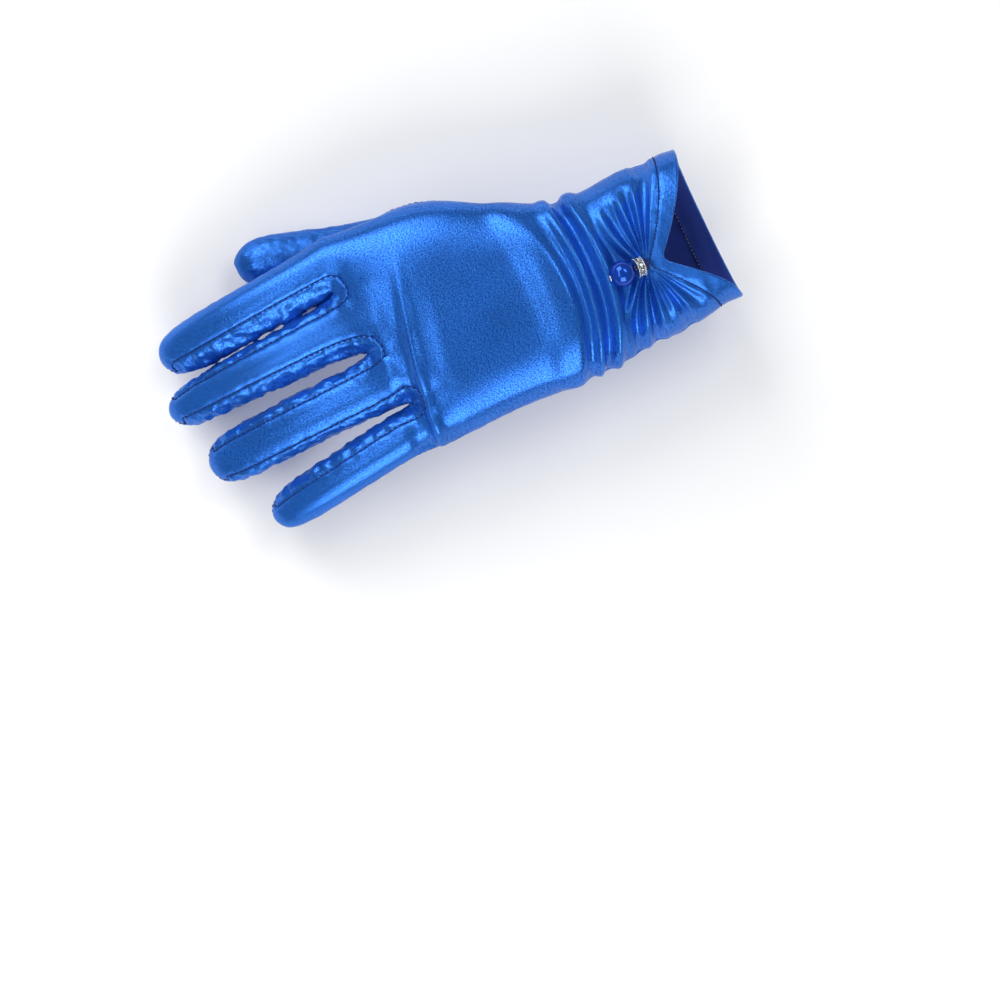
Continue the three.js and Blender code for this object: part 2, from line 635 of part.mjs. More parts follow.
const glove = new THREE.Group();
glove.name = "dress_glove";
function addPiece(name, geometry, material, parent = glove) {
  const mesh = new THREE.Mesh(geometry, material);
  mesh.name = name;
  parent.add(mesh);
  return mesh;
}
addPiece("cuff_hem", buildPanel("cuff_hem", HEM_WALL), satin);
for (const name of ["back_panel", "palm_panel", ...STRIPS, "thumb"]) {
  addPiece(name, buildPanel(name, WALL), satin);
}

// The lowest height at which a ball clears the cloth below it.
const backCloth = cloth.filter((_, i) => normals[i].z > 0);
function restingHeight(x, y, radius) {
  let height = -Infinity;
  for (const point of backCloth) {
    const reach = Math.hypot(point.x - x, point.y - y);
    if (reach < radius) height = Math.max(height, point.z + Math.sqrt(radius ** 2 - reach ** 2));
  }
  return height + SEAM_GAP;
}

// The ornament lies on the back, on a pin that starts at the pinch. Its own z runs along the pin.
const BEAD_AT = 0.5 * (STITCH_WIDTH + BEAD_DIAMETER) + RONDELLE_WIDTH + 2 * SEAM_GAP;
const RONDELLE_AT = 0.5 * (STITCH_WIDTH + RONDELLE_WIDTH) + SEAM_GAP;
const pinchX = middleAt(GATHER_LENGTH) + (PINCH[0] - 0.5) * widthAt(GATHER_LENGTH);
const pinLean = radians(4); // towards the little finger
const onPin = (distance, radius) => {
  const x = pinchX - distance * Math.sin(pinLean);
  const y = GATHER_LENGTH + distance * Math.cos(pinLean);
  return new THREE.Vector3(x, y, restingHeight(x, y, radius));
};
const beadCentre = onPin(BEAD_AT, BEAD_DIAMETER / 2);
const rondelleLeast = onPin(RONDELLE_AT, RONDELLE_DIAMETER / 2);
const stitchLeast = onPin(0, STITCH_WIDTH / 2);
const slopeOf = (nearer, at) => (beadCentre.z - nearer.z) / (BEAD_AT - at);
const pinSlope = Math.min(slopeOf(rondelleLeast, RONDELLE_AT), slopeOf(stitchLeast, 0));
const pinStart = onPin(0, STITCH_WIDTH / 2).setZ(beadCentre.z - pinSlope * BEAD_AT);
const pinDirection = beadCentre.clone().sub(pinStart).normalize();

const ornament = new THREE.Group();
ornament.position.copy(pinStart);
ornament.quaternion.setFromUnitVectors(new THREE.Vector3(0, 0, 1), pinDirection);
glove.add(ornament);

const ROUND = 18;
const lathe = (profile, sides = ROUND) =>
  new THREE.LatheGeometry(
    profile.map(([radius, height]) => new THREE.Vector2(radius, height)),
    sides,
  ).rotateX(Math.PI / 2);

// A ball drilled from end to end: the bore's wall, then the outside back to where it began.
function drilledBall(diameter, bore, steps = 10) {
  const start = Math.asin(bore / diameter);
  const profile = [];
  for (let i = 0; i <= steps; i++) {
    const angle = lerp(start, Math.PI - start, i / steps);
    profile.push([0.5 * diameter * Math.sin(angle), -0.5 * diameter * Math.cos(angle)]);
  }
  return lathe([...profile, profile[0]]);
}
const beadDistance = pinStart.distanceTo(beadCentre);
const alongPin = (distance) => (distance / BEAD_AT) * beadDistance;
const bead = addPiece("pearl_bead", drilledBall(BEAD_DIAMETER, BEAD_BORE), pearl, ornament);
bead.position.z = beadDistance;

// The rondelle: two discs on a hub, with the stones standing in the channel between them.
const hubRadius = RONDELLE_DIAMETER / 2 - STONE_DEPTH - STONE_CLEARANCE;
const discRadius = RONDELLE_DIAMETER / 2;
const half = RONDELLE_WIDTH / 2;
const rondelle = new THREE.Group();
rondelle.position.z = alongPin(RONDELLE_AT);
ornament.add(rondelle);
addPiece(
  "rondelle",
  lathe([
    [RONDELLE_BORE / 2, -half],
    [discRadius - FLANGE / 2, -half],
    [discRadius, -half + FLANGE / 2],
    [discRadius, -half + FLANGE],
    [hubRadius, -half + FLANGE],
    [hubRadius, half - FLANGE],
    [discRadius, half - FLANGE],
    [discRadius, half - FLANGE / 2],
    [discRadius - FLANGE / 2, half],
    [RONDELLE_BORE / 2, half],
    [RONDELLE_BORE / 2, -half],
  ]),
  silver,
  rondelle,
);

// A cut stone: an eight-sided table and crown, a girdle, and eight facets down to its point.
const STONE_PROFILE = [
  { radius: 0, height: -0.5 },
  { radius: 1, height: 0.12 },
  { radius: 1, height: 0.2 },
  { radius: 0.6, height: 0.5 },
  { radius: 0, height: 0.5 },
];
for (let i = 0; i < STONE_COUNT; i++) {
  const seat = new THREE.Group();
  seat.rotation.z = (i * 2 * Math.PI) / STONE_COUNT;
  rondelle.add(seat);
  const profile = STONE_PROFILE.map(({ radius, height }) => [
    0.5 * STONE_DIAMETER * radius,
    STONE_DEPTH * height,
  ]);
  const stone = addPiece(`rhinestone_${i + 1}`, lathe(profile, 8), crystal, seat);
  stone.position.x = hubRadius + STONE_CLEARANCE + STONE_DEPTH / 2;
  stone.rotation.y = Math.PI / 2;
}

// The pin runs from the stitches through the rondelle and the bead to its flat head.
const pinEnd = beadDistance + BEAD_DIAMETER / 2 + SEAM_GAP / 2;
const pinBegin = STITCH_WIDTH / 2 + SEAM_GAP;
addPiece(
  "head_pin",
  lathe([
    [0, pinBegin],
    [PIN_DIAMETER / 2, pinBegin],
    [PIN_DIAMETER / 2, pinEnd],
    [PIN_HEAD_DIAMETER / 2, pinEnd],
    [0.7 * (PIN_HEAD_DIAMETER / 2), pinEnd + PIN_HEAD_THICKNESS],
    [0, pinEnd + PIN_HEAD_THICKNESS],
  ], 12),
  silver,
  ornament,
);

// The stitches over the pinch, drawn tight into a small bar across it.
const bar = addPiece("gather_stitch", new THREE.SphereGeometry(0.5, 10, 6), thread, ornament);
bar.scale.set(STITCH_LENGTH, STITCH_WIDTH, STITCH_WIDTH);

export default glove;
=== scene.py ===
"""A wrist-length dress glove of stretch satin, with a pinched cuff, a rhinestone rondelle and a pearl bead.

It is laid out as an add-on and is run as a script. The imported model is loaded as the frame, and the
cloth, the stitches and the ornament take the places of its solids. Lengths are in metres.
"""

import math

import bpy
import numpy as np
from mathutils import Matrix, Vector, noise
from mathutils.kdtree import KDTree


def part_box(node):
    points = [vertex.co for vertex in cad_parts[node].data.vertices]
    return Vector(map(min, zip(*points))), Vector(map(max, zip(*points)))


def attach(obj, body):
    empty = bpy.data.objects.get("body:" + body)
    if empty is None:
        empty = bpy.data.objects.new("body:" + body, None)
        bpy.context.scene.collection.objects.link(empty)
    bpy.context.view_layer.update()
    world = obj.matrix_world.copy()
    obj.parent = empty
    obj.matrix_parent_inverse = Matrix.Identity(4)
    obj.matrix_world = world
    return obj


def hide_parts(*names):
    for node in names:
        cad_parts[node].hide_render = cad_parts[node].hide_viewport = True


bl_info = {
    "name": "Satin dress glove",
    "version": (1, 0, 0),
    "blender": (4, 5, 0),
    "location": "3D View > Sidebar > Glove",
    "description": "Builds a worn satin dress glove with a pinched cuff and a pearl bead",
    "category": "Add Mesh",
}

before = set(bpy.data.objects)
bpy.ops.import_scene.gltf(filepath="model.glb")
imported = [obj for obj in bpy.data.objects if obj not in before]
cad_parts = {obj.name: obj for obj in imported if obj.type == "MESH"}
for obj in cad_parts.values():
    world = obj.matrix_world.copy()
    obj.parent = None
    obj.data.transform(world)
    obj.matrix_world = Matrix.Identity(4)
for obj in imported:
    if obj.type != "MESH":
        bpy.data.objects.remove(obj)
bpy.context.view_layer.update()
MM = 0.001

# Rows run across the glove from the mouth to the forks, and columns from the little finger's edge
# to the thumb side, as in the solid model.
HEM_ROWS = 2
CUFF_ROWS = 15
WEB_ROW = 22
FORK_ROW = 23
THUMB_ROWS = (16, 20)
THUMB_COLUMNS = (13, 16)
THUMB_INSET = 0.14
SIDE_COLUMN = 16
PINCH_COLUMN = 7
FORK_COLUMNS = (4, 8, 12)
AT_MOUTH = (
    0, 0.065, 0.13, 0.195, 0.255, 0.31, 0.365, 0.42, 0.47, 0.525, 0.585, 0.65, 0.715,
    0.785, 0.855, 0.93, 1,
)
AT_KNUCKLES = (
    0, 0.06, 0.115, 0.175, 0.232, 0.287, 0.36, 0.433, 0.486, 0.545, 0.625, 0.702,
    0.757, 0.825, 0.885, 0.945, 1,
)

# Sections of the hand: share of the length, then shares of the three widths, lean towards the thumb,
# shares of the three depths, and the share of the depth above z = 0. A width is a sum over
# (mouth, wrist, knuckles), and so is a depth.
SECTIONS = (
    (0.0, (1, 0, 0), 0.0, (1, 0, 0), 0.5),
    (0.11, (1.06, 0, 0), -0.025, (1.02, 0, 0), 0.5),
    (0.21, (0, 1, 0), -0.045, (0, 1.01, 0), 0.5),
    (0.31, (0, 1, 0), -0.077, (0, 1, 0), 0.5),
    (0.4, (0, 1.035, 0), -0.087, (0, 0.99, 0), 0.5),
    (0.48, (0, 0, 0.785), -0.083, (0, 0.97, 0), 0.5),
    (0.58, (0, 0, 0.865), -0.053, (0, 0, 1.52), 0.49),
    (0.68, (0, 0, 0.94), -0.031, (0, 0, 1.5), 0.495),
    (0.78, (0, 0, 0.985), -0.033, (0, 0, 1.43), 0.515),
    (0.89, (0, 0, 1), -0.049, (0, 0, 1.3), 0.55),
    (1.0, (0, 0, 1), -0.06, (0, 0, 1), 0.52),
)
ROUNDNESS = 2.3
KNUCKLE_LINE = ((0, 0.865), (0.232, 0.915), (0.486, 0.98), (0.757, 1.022), (1, 1.03))
VALLEYS = {"fork": 0.42, "seam": 0.8}
VALLEY_ROWS = {21: 0.1, 22: 0.4, 23: 1}
# How far a web's end is raised at its corners and its middle, as shares of its depth
WEB_RISE = {-1: 0.28, 0: 0.1, 1: 0.22}

# Little, ring, middle and index finger: first column, shares of the finger length, width and
# thickness, taper, yaw, and the seams' distances from the left and right edge.
FINGERS = (
    (1, 0.878, 0.86, 0.912, 0.98, 14.5, None, 0.26),
    (5, 0.988, 0.93, 0.971, 1.04, 8.3, 0.12, 0.17),
    (9, 1, 1, 1, 0.78, 8.6, 0.27, 0.15),
    (13, 0.924, 0.977, 0.971, 0.98, 10.5, 0.36, None),
)
FINGER_BEND = ((0, 3), (0.3, 7), (0.55, 17), (0.75, 24), (1, 30))
FINGER_RINGS = ((0.11, 1), (0.34, 1), (0.57, 0.98), (0.78, 0.97), (0.93, 0.82))
OUTER_COLUMN_DEGREES = 45
STRIP_EDGE_DEGREES = 22
CAGE_SWELL = 1.07
TIP_ALONG = 1.03

# The thumb's line: share of its length, yaw, pitch
THUMB_BEND = (
    (0, -20, 64), (0.12, -12, 44), (0.26, -5, 18), (0.45, -6, 2), (0.7, -11, -3), (1, -15, -6),
)
THUMB_RINGS = ((0.24, 0.9), (0.4, 0.9), (0.57, 0.92), (0.77, 0.96), (0.93, 0.84))

# Folds: start (None at the pinch), middle and end as shares of the width and of the length, then
# rise and breadth as shares of the fold sizes.
PINCH_ACROSS = 0.43
FOLDS = (
    (None, (0.2, 0.128), (0.05, 0.08), -0.8, 0.6),
    (None, (0.2, 0.142), (0.03, 0.1), 0.9, 0.75),
    (None, (0.2, 0.157), (-0.02, 0.121), -1.1, 0.7),
    (None, (0.22, 0.174), (0.02, 0.158), 1.0, 0.9),
    (None, (0.25, 0.188), (0.12, 0.18), -0.9, 0.7),
    (None, (0.2, 0.202), (0.03, 0.2), 1.1, 0.85),
    (None, (0.2, 0.219), (-0.02, 0.228), -1.7, 0.8),
    (None, (0.22, 0.24), (0.02, 0.254), 1.1, 0.8),
    (None, (0.22, 0.262), (-0.02, 0.282), -1.6, 0.75),
    (None, (0.24, 0.284), (0.02, 0.308), 1.0, 0.8),
    (None, (0.7, 0.168), (0.96, 0.135), -1.3, 0.75),
    (None, (0.7, 0.184), (0.89, 0.168), 1.0, 0.75),
    (None, (0.68, 0.199), (0.89, 0.196), -1.2, 0.7),
    (None, (0.68, 0.214), (0.89, 0.221), 1.3, 0.7),
    (None, (0.66, 0.238), (0.85, 0.254), -1.3, 1.0),
    (None, (0.64, 0.266), (0.89, 0.29), 1.4, 0.8),
    ((-0.02, 0.335), (0.42, 0.272), (0.89, 0.32), -1.4, 0.8),
    ((-0.02, 0.36), (0.45, 0.31), (1.02, 0.36), 1.2, 0.75),
    ((-0.02, 0.392), (0.45, 0.342), (1.02, 0.392), -1.4, 0.7),
    ((-0.02, 0.415), (0.45, 0.368), (1.02, 0.42), 1.0, 0.65),
    ((-0.02, 0.44), (0.45, 0.395), (0.89, 0.455), -1.3, 0.75),
    ((-0.02, 0.48), (0.45, 0.44), (1.02, 0.51), 1.0, 1.8),
    ((-0.02, 0.87), (0.35, 0.877), (0.85, 0.835), 1.0, 0.6),
    ((-0.02, 0.9), (0.3, 0.91), (0.85, 0.865), -1.0, 1.1),
    ((-0.02, 0.84), (0.3, 0.846), (0.7, 0.82), -0.4, 1.0),
)
# The weight of the smooth surface against the folds'
SMOOTH_WEIGHT = 0.15
FOLD_SAMPLES = 24

# Waves in the cloth: period, stretch along the axes and where in the noise they start
CUFF_WAVES = (7 * MM, (0.3, 1.5, 0.6), 3.1)
PALM_WAVES = (9 * MM, (0.25, 1.4, 0.5), 9.7)
COARSE_CRUMPLE = (4.2 * MM, (1, 1, 1), 5.3)
FINE_CRUMPLE = (2.1 * MM, (1, 1, 1), 1.9)
SEAM_PUCKER = (3.4 * MM, (1, 1, 1), 7.7)
# How loosely each piece fits, which crumples it
LOOSENESS = {
    "fourchette_ring_little": 1.2, "fourchette_middle_ring": 1.2, "fourchette_index_middle": 1.2, "thumb": 0.4,
}

# Stitches: the thread that shows, as a share of the pitch, how high it lies and how much it arches
STITCH_SHARE = 0.58
STITCH_LIFT = 0.14 * MM
SIDE_STITCH_LIFT = -0.12 * MM
STITCH_ARCH = 0.14 * MM
GATHER_STRANDS = 9
MILLED_BEADS = 36

STRIPS = ("fourchette_ring_little", "fourchette_middle_ring", "fourchette_index_middle")
PANELS = ("cuff_hem", "back_panel", "palm_panel", *STRIPS, "thumb")
RHINESTONES = sorted(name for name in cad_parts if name.startswith("rhinestone_"))
LEVELS = 3
LENGTHWISE_SPLIT = 3


def size(name, millimetres, description):
    return bpy.props.FloatProperty(
        name=name, description=description, default=millimetres * MM, min=0, unit="LENGTH", precision=4
    )


def portion(name, part, description):
    return bpy.props.FloatProperty(name=name, description=description, default=part, min=0, max=1)


def colour(name, code, description):
    return bpy.props.FloatVectorProperty(
        name=name, description=description, default=linear(code), size=4, min=0, max=1, subtype="COLOR"
    )


def linear(code):
    """An sRGB hex colour as linear RGBA."""
    parts = [int(code[i : i + 2], 16) / 255 for i in (1, 3, 5)]
    return (*(c / 12.92 if c <= 0.04045 else ((c + 0.055) / 1.055) ** 2.4 for c in parts), 1)


class GloveSizes(bpy.types.PropertyGroup):
    """The cloth's sizes."""

    palm_length: size("Palm length", 141, "From the mouth to the fork of the middle and ring fingers")
    cuff_length: size("Cuff length", 64, "From the mouth to the end of the gathered cloth")
    hem_tilt: size("Hem tilt", 8.5, "How much nearer to the fingers the hem's thumb side lies")
    mouth_width: size("Mouth width", 65, "The glove's width at its mouth")
    wrist_width: size("Wrist width", 70, "Its width at the wrist")
    knuckle_width: size("Knuckle width", 96, "Its width at the knuckles")
    mouth_depth: size("Mouth depth", 39, "From the back of the hand to the palm at the mouth")
    wrist_depth: size("Wrist depth", 39.5, "The same at the wrist")
    knuckle_depth: size("Knuckle depth", 24, "The same at the knuckles")
    web_depth: size("Web depth", 6.5, "How far a strip between two fingers reaches below their fork")
    fork_dip: size("Fork dip", 3, "How much lower a fork's middle lies than its edges")
    finger_length: size("Finger length", 86, "The middle finger, from its root to its tip")
    finger_width: size("Finger width", 21.5, "The middle finger's width")
    finger_thickness: size("Finger thickness", 17, "The middle finger, from its back to its front")
    thumb_length: size("Thumb length", 90, "From inside the palm to the tip")
    thumb_width: size("Thumb width", 22, "The thumb's width")
    thumb_thickness: size("Thumb thickness", 17, "The thumb, from its back to its front")
    gather_length: size("Gather length", 28.5, "From the mouth to the pinch")
    fold_rise: size("Fold rise", 2.1, "A fold's height or depth, before its own share of it")
    fold_breadth: size("Fold breadth", 3.2, "Half of a fold's width at its open end")
    dimple: size("Dimple", 1.6, "How far the pinch sinks in")
    cloth: size("Cloth thickness", 0.6, "The satin with its seam allowance")
    hem_cloth: size("Hem thickness", 1.3, "The turned hem, where the cloth lies double")
    seam_sink: size("Seam sink", 0.32, "How far a seam is drawn in")
    seam_reach: size("Seam reach", 0.9, "How far from the seam the cloth is drawn in with it")
    pucker: size("Pucker", 0.16, "The height of the small waves that the stitches draw beside a seam")
    corner_reach: size("Corner reach", 5, "How much of a strip's corner is rounded off at its fork")
    web_narrowing: portion("Web narrowing", 0.72, "A web's width, as a share of its width at the fork")
    gather_share: portion("Gather share", 0.19, "What is left of the cloth's length at the pinch")
    hem_share: portion("Hem share", 0.62, "What is left of the hem's breadth at the pinch")
    fold_start: portion("Fold start", 0.14, "A fold's width at the pinch, as a share of its other end")
    wrinkle: size("Wrinkle", 0.7, "The height of the loose cloth's wrinkles")


class StitchSizes(bpy.types.PropertyGroup):
    """The sewing thread's sizes."""

    thread: size("Thread", 0.52, "The sewing thread's thickness")
    seam_pitch: size("Seam pitch", 2.3, "From stitch to stitch along the fingers")
    hem_pitch: size("Hem pitch", 1.55, "From stitch to stitch along the hem")
    gather_length: size("Gather stitch", 4.4, "The length of the stitches over the pinch")
    gather_width: size("Gather width", 2.2, "The width of the stitches over the pinch")


class OrnamentSizes(bpy.types.PropertyGroup):
    """The sizes of the rondelle's and the bead's details."""

    bead: size("Bead", 10, "The pearl bead's diameter")
    bead_bore: size("Bead bore", 1.6, "The hole through the bead")
    rondelle: size("Rondelle", 7.2, "The rondelle's diameter")
    rondelle_width: size("Rondelle width", 3.2, "The rondelle's two discs and the channel between them")
    flange: size("Flange", 0.6, "The thickness of a disc")
    stone: size("Stone", 1.7, "A rhinestone's diameter")
    stone_depth: size("Stone depth", 1.15, "A rhinestone from its table to its point")
    prong: size("Prong", 0.46, "The diameter of the beads of metal that hold the stones")
    pin: size("Pin", 0.9, "The pin's diameter")
    pin_head: size("Pin head", 2.6, "The diameter of the pin's head")


class GloveColours(bpy.types.PropertyGroup):
    """The glove's colours."""

    satin: colour("Satin", "#0a40a6", "The satin's own blue")
    # Painted sparkle: the weave's grain mixes this lighter blue into the satin, as glints of its threads.
    satin_sparkle_blue: colour("Satin sparkle", "#3380e0", "The lighter blue of the threads that lie on top")
    wrong_side: colour("Wrong side", "#16399b", "The dull inner face of the satin")
    # Darker than the satin, partly as painted shade: the thread's dark blue stands in for the shadows in the
    # stitch holes.
    thread: colour("Thread", "#081a5e", "The sewing thread")
    silver: colour("Silver", "#d9dbdf", "The rondelle's plating")
    bead: colour("Bead", "#0d46b4", "The bead's deep blue")
    # Partly painted shade: the bead's colour is mixed towards this darker violet at its edge, the lacquer's
    # violet with a painted dark rim.
    bead_rim_violet_and_shade: colour("Bead rim", "#18188a", "The violet that the bead's lacquer turns to at its edge")


class StageSettings(bpy.types.PropertyGroup):
    """The floor, the lights and the camera."""

    floor_height: size("Floor depth", 36, "How far below the glove's middle plane the floor lies")
    floor_size: size("Floor", 4000, "The floor's side")
    camera_height: size("Camera height", 1500, "From the glove's middle plane to the camera")
    view_width: size("View", 385, "What the camera takes in, from side to side")
    world: portion("World", 0.24, "The surrounding light's strength")
    floor: colour("Floor colour", "#fcfcfc", "The floor's own colour")


def lerp(a, b, t):
    return a + (b - a) * t


def smoothstep(x, low, high):
    t = np.clip((x - low) / (high - low), 0, 1)
    return t * t * (3 - 2 * t)


def between(rows, at):
    """The value of a table of (place, value) rows at one or more places, on a smooth curve."""
    x, y = np.array(rows, float).T
    slopes = np.empty(len(x))
    slopes[1:-1] = (y[2:] - y[:-2]) / (x[2:] - x[:-2])
    slopes[0] = (y[1] - y[0]) / (x[1] - x[0])
    slopes[-1] = (y[-1] - y[-2]) / (x[-1] - x[-2])
    i = np.clip(np.searchsorted(x, at) - 1, 0, len(x) - 2)
    span = x[i + 1] - x[i]
    t = np.clip((at - x[i]) / span, 0, 1)
    return (
        (2 * t**3 - 3 * t**2 + 1) * y[i]
        + (t**3 - 2 * t**2 + t) * span * slopes[i]
        + (3 * t**2 - 2 * t**3) * y[i + 1]
        + (t**3 - t**2) * span * slopes[i + 1]
    )


class Hand:
    """The hand's outline inside the glove, from the sizes and the sections."""

    def __init__(self, sizes):
        self.sizes = sizes
        widths = (sizes.mouth_width, sizes.wrist_width, sizes.knuckle_width)
        depths = (sizes.mouth_depth, sizes.wrist_depth, sizes.knuckle_depth)
        self.widths = [(row[0], np.dot(row[1], widths)) for row in SECTIONS]
        self.middles = [(row[0], row[2] * sizes.knuckle_width) for row in SECTIONS]
        self.depths = [(row[0], np.dot(row[3], depths)) for row in SECTIONS]
        self.crowns = [(row[0], row[4]) for row in SECTIONS]

    def at(self, rows, y):
        return between(rows, y / self.sizes.palm_length)

    def width(self, y):
        return self.at(self.widths, y)

    def middle(self, y):
        return self.at(self.middles, y)

    @staticmethod
    def column_share(column, row):
        return lerp(AT_MOUTH[column], AT_KNUCKLES[column], smoothstep(row / CUFF_ROWS, 0, 1))

    def knuckle_line(self, across):
        return self.sizes.palm_length * between(KNUCKLE_LINE, across)

    def plain_along(self, across, row):
        """How far along the glove a row's point lies, before the pinch."""
        sizes = self.sizes
        hem = (across - 0.5) * sizes.hem_tilt
        cuff_end = sizes.cuff_length + (across - 0.5) * 0.7 * sizes.hem_tilt
        knuckles = self.knuckle_line(across)
        if row <= CUFF_ROWS:
            return lerp(hem, cuff_end, row / CUFF_ROWS)
        if row >= FORK_ROW:
            return knuckles
        share = (row - CUFF_ROWS) / (WEB_ROW - CUFF_ROWS)
        return lerp(cuff_end, knuckles - sizes.web_depth + sizes.fork_dip, share)

    def pinched_along(self, across, row):
        """The same on the back, where the pinch draws the rows together."""
        sizes = self.sizes
        plain = self.plain_along(across, row)
        pinch = self.column_share(PINCH_COLUMN, row)
        away = 1 - across / pinch if across < pinch else (across - pinch) / (1 - pinch)
        hem_seam = sizes.cuff_length * HEM_ROWS / CUFF_ROWS
        cloth = sizes.cuff_length - hem_seam
        distance = plain - hem_seam
        if distance < 0:
            drawn = distance * sizes.hem_share
        else:
            room = (sizes.cuff_length - sizes.gather_length) / cloth
            gathered = min(distance, cloth)
            drawn = gathered * lerp(sizes.gather_share, room, gathered / cloth) + distance - gathered
        return lerp(plain, sizes.gather_length + drawn, (1 - np.clip(away, 0, 1)) ** 1.5)


class Cage:
    """The coarse cage that the cloth is refined from. A point holds its place and its place on the cloth."""

    def __init__(self, sizes):
        self.sizes = sizes
        self.hand = Hand(sizes)
        self.points, self.quads, self.panels, self.turns = [], [], [], []
        self.back, self.palm, self.forks = [], [], {}
        self.add_palm()
        for order in range(len(FINGERS)):
            self.add_finger(order)
        self.add_thumb()

    def point(self, place, cloth):
        self.points.append((*place, *cloth))
        return len(self.points) - 1

    def quad(self, corners, panel, turn=-1):
        """turn is the parity of the sides that run along a finger, or -1."""
        self.quads.append(corners)
        self.panels.append(PANELS.index(panel))
        self.turns.append(turn)

    def palm_point(self, row, column, side):
        in_hole = THUMB_ROWS[0] < row < THUMB_ROWS[1] and THUMB_COLUMNS[0] < column < THUMB_COLUMNS[1]
        if side < 0 and in_hole:
            return -1
        hand, sizes = self.hand, self.sizes
        across = hand.column_share(column, row)
        if row == WEB_ROW:
            for step in (-1, 1):
                if column + step in FORK_COLUMNS:
                    across = lerp(hand.column_share(column + step, row), across, sizes.web_narrowing)
        if side < 0:
            low, high = THUMB_ROWS
            beside = smoothstep(row, low, low + 2) * (1 - smoothstep(row, high, high + 3))
            across -= THUMB_INSET * beside * across**3
        y = hand.pinched_along(across, row) if side > 0 else hand.plain_along(across, row)
        if row == WEB_ROW:
            y += sizes.web_depth * sum(WEB_RISE.get(column - fork, 0) for fork in FORK_COLUMNS)
        x = hand.middle(y) + (across - 0.5) * hand.width(y)
        bulge = (1 - abs(2 * across - 1) ** ROUNDNESS) ** (1 / ROUNDNESS)
        seam = column - 1 in FORK_COLUMNS or column + 1 in FORK_COLUMNS
        valley = VALLEYS["fork"] if column in FORK_COLUMNS else VALLEYS["seam"] if seam else 1
        crown = hand.at(hand.crowns, y)
        share = crown if side > 0 else 1 - crown
        z = side * share * hand.at(hand.depths, y) * bulge * lerp(1, valley, VALLEY_ROWS.get(row, 0))
        return self.point((x, y, z), (across * hand.width(y), hand.plain_along(across, row)))

    def add_palm(self):
        for row in range(FORK_ROW + 1):
            back = [self.palm_point(row, column, 1) for column in range(SIDE_COLUMN + 1)]
            palm = [
                back[column] if column in (0, SIDE_COLUMN) else self.palm_point(row, column, -1)
                for column in range(SIDE_COLUMN + 1)
            ]
            self.back.append(back)
            self.palm.append(palm)
        for column in FORK_COLUMNS:
            top = np.array(self.points[self.back[FORK_ROW][column]])
            bottom = np.array(self.points[self.palm[FORK_ROW][column]])
            middle = (top + bottom) / 2
            middle[1] -= self.sizes.fork_dip
            self.forks[column] = self.point(middle[:3], middle[3:])
        for row in range(FORK_ROW):
            for column in range(SIDE_COLUMN):
                near, far = self.back[row], self.back[row + 1]
                corners = (near[column], near[column + 1], far[column + 1], far[column])
                self.quad(corners, self.panel_at(row, column, "back_panel"))
                if THUMB_ROWS[0] <= row < THUMB_ROWS[1] and column >= THUMB_COLUMNS[0]:
                    continue
                near, far = self.palm[row], self.palm[row + 1]
                corners = (near[column], far[column], far[column + 1], near[column + 1])
                self.quad(corners, self.panel_at(row, column, "palm_panel"))

    @staticmethod
    def panel_at(row, column, cloth):
        if row < HEM_ROWS:
            return "cuff_hem"
        for strip, fork in zip(STRIPS, FORK_COLUMNS):
            if row == WEB_ROW and fork in (column, column + 1):
                return strip
        return cloth

    def add_stall(self, root, frame_at, rings, shape, degrees, panel_of):
        """Rings of points along a finger, joined to its root and closed round the tip."""
        length, width, taper, thickness = shape
        root_cloth = [np.array(self.points[i][3:]) for i in root]
        before, count = root, len(root)
        for along, ring_size in rings:
            centre, aside, above = frame_at(along)
            swell = 0.5 * ring_size * CAGE_SWELL
            wide = swell * width * lerp(1, taper, along)
            made = []
            for degree, cloth in zip(degrees, root_cloth):
                turn = math.radians(degree)
                place = centre + aside * (wide * math.cos(turn)) + above * (swell * thickness * math.sin(turn))
                made.append(self.point(place, cloth + (0, along * length)))
            for i in range(count):
                after = (i + 1) % count
                self.quad((before[i], before[after], made[after], made[i]), panel_of(i), 1)
            before = made
        tip = self.point(frame_at(TIP_ALONG)[0], np.mean(root_cloth, axis=0) + (0, length))
        for i in range(1, count, 2):
            corners = (tip, before[i], before[(i + 1) % count], before[(i + 2) % count])
            self.quad(corners, panel_of(i, True))

    def centre_of(self, root):
        return np.mean([self.points[i][:3] for i in root], axis=0)

    def add_finger(self, order):
        first, length, width, thickness, taper, yaw, left_inset, right_inset = FINGERS[order]
        top, bottom = self.back[FORK_ROW], self.palm[FORK_ROW]

        def seam_angle(inset):
            return OUTER_COLUMN_DEGREES if inset is None else math.degrees(math.acos(1 - 2 * inset))

        def wall(column):
            return [top[column], self.forks[column], bottom[column]]

        right, left = seam_angle(right_inset), 180 - seam_angle(left_inset)
        middle, turn = (left + right) / 2, STRIP_EDGE_DEGREES
        right_wall = [0] if right_inset is None else [turn, 0, -turn]
        left_wall = [180] if left_inset is None else [180 + turn, 180, 180 - turn]
        degrees = [left, middle, right, *right_wall, -right, -middle, -left, *left_wall]
        root = [top[first], top[first + 1], top[first + 2]]
        root += [top[SIDE_COLUMN]] if right_inset is None else wall(first + 3)
        root += [bottom[first + 2], bottom[first + 1], bottom[first]]
        root += [top[0]] if left_inset is None else wall(first - 1)[::-1]
        palm_start = 3 + len(right_wall)
        left_start = palm_start + 3

        def panel_of(i, at_tip=False):
            place = i + 1 if at_tip else i + 0.5
            if right_inset is not None and 2 < place < palm_start:
                return STRIPS[order]
            if left_inset is not None and left_start - 1 < place < len(root):
                return STRIPS[order - 1]
            return "palm_panel" if 3 <= place <= left_start else "back_panel"

        sizes = self.sizes
        length *= sizes.finger_length
        frame_at = walk(self.centre_of(root), length, ((0, yaw), (1, yaw)), FINGER_BEND)
        shape = (length, width * sizes.finger_width, taper, thickness * sizes.finger_thickness)
        self.add_stall(root, frame_at, FINGER_RINGS, shape, degrees, panel_of)

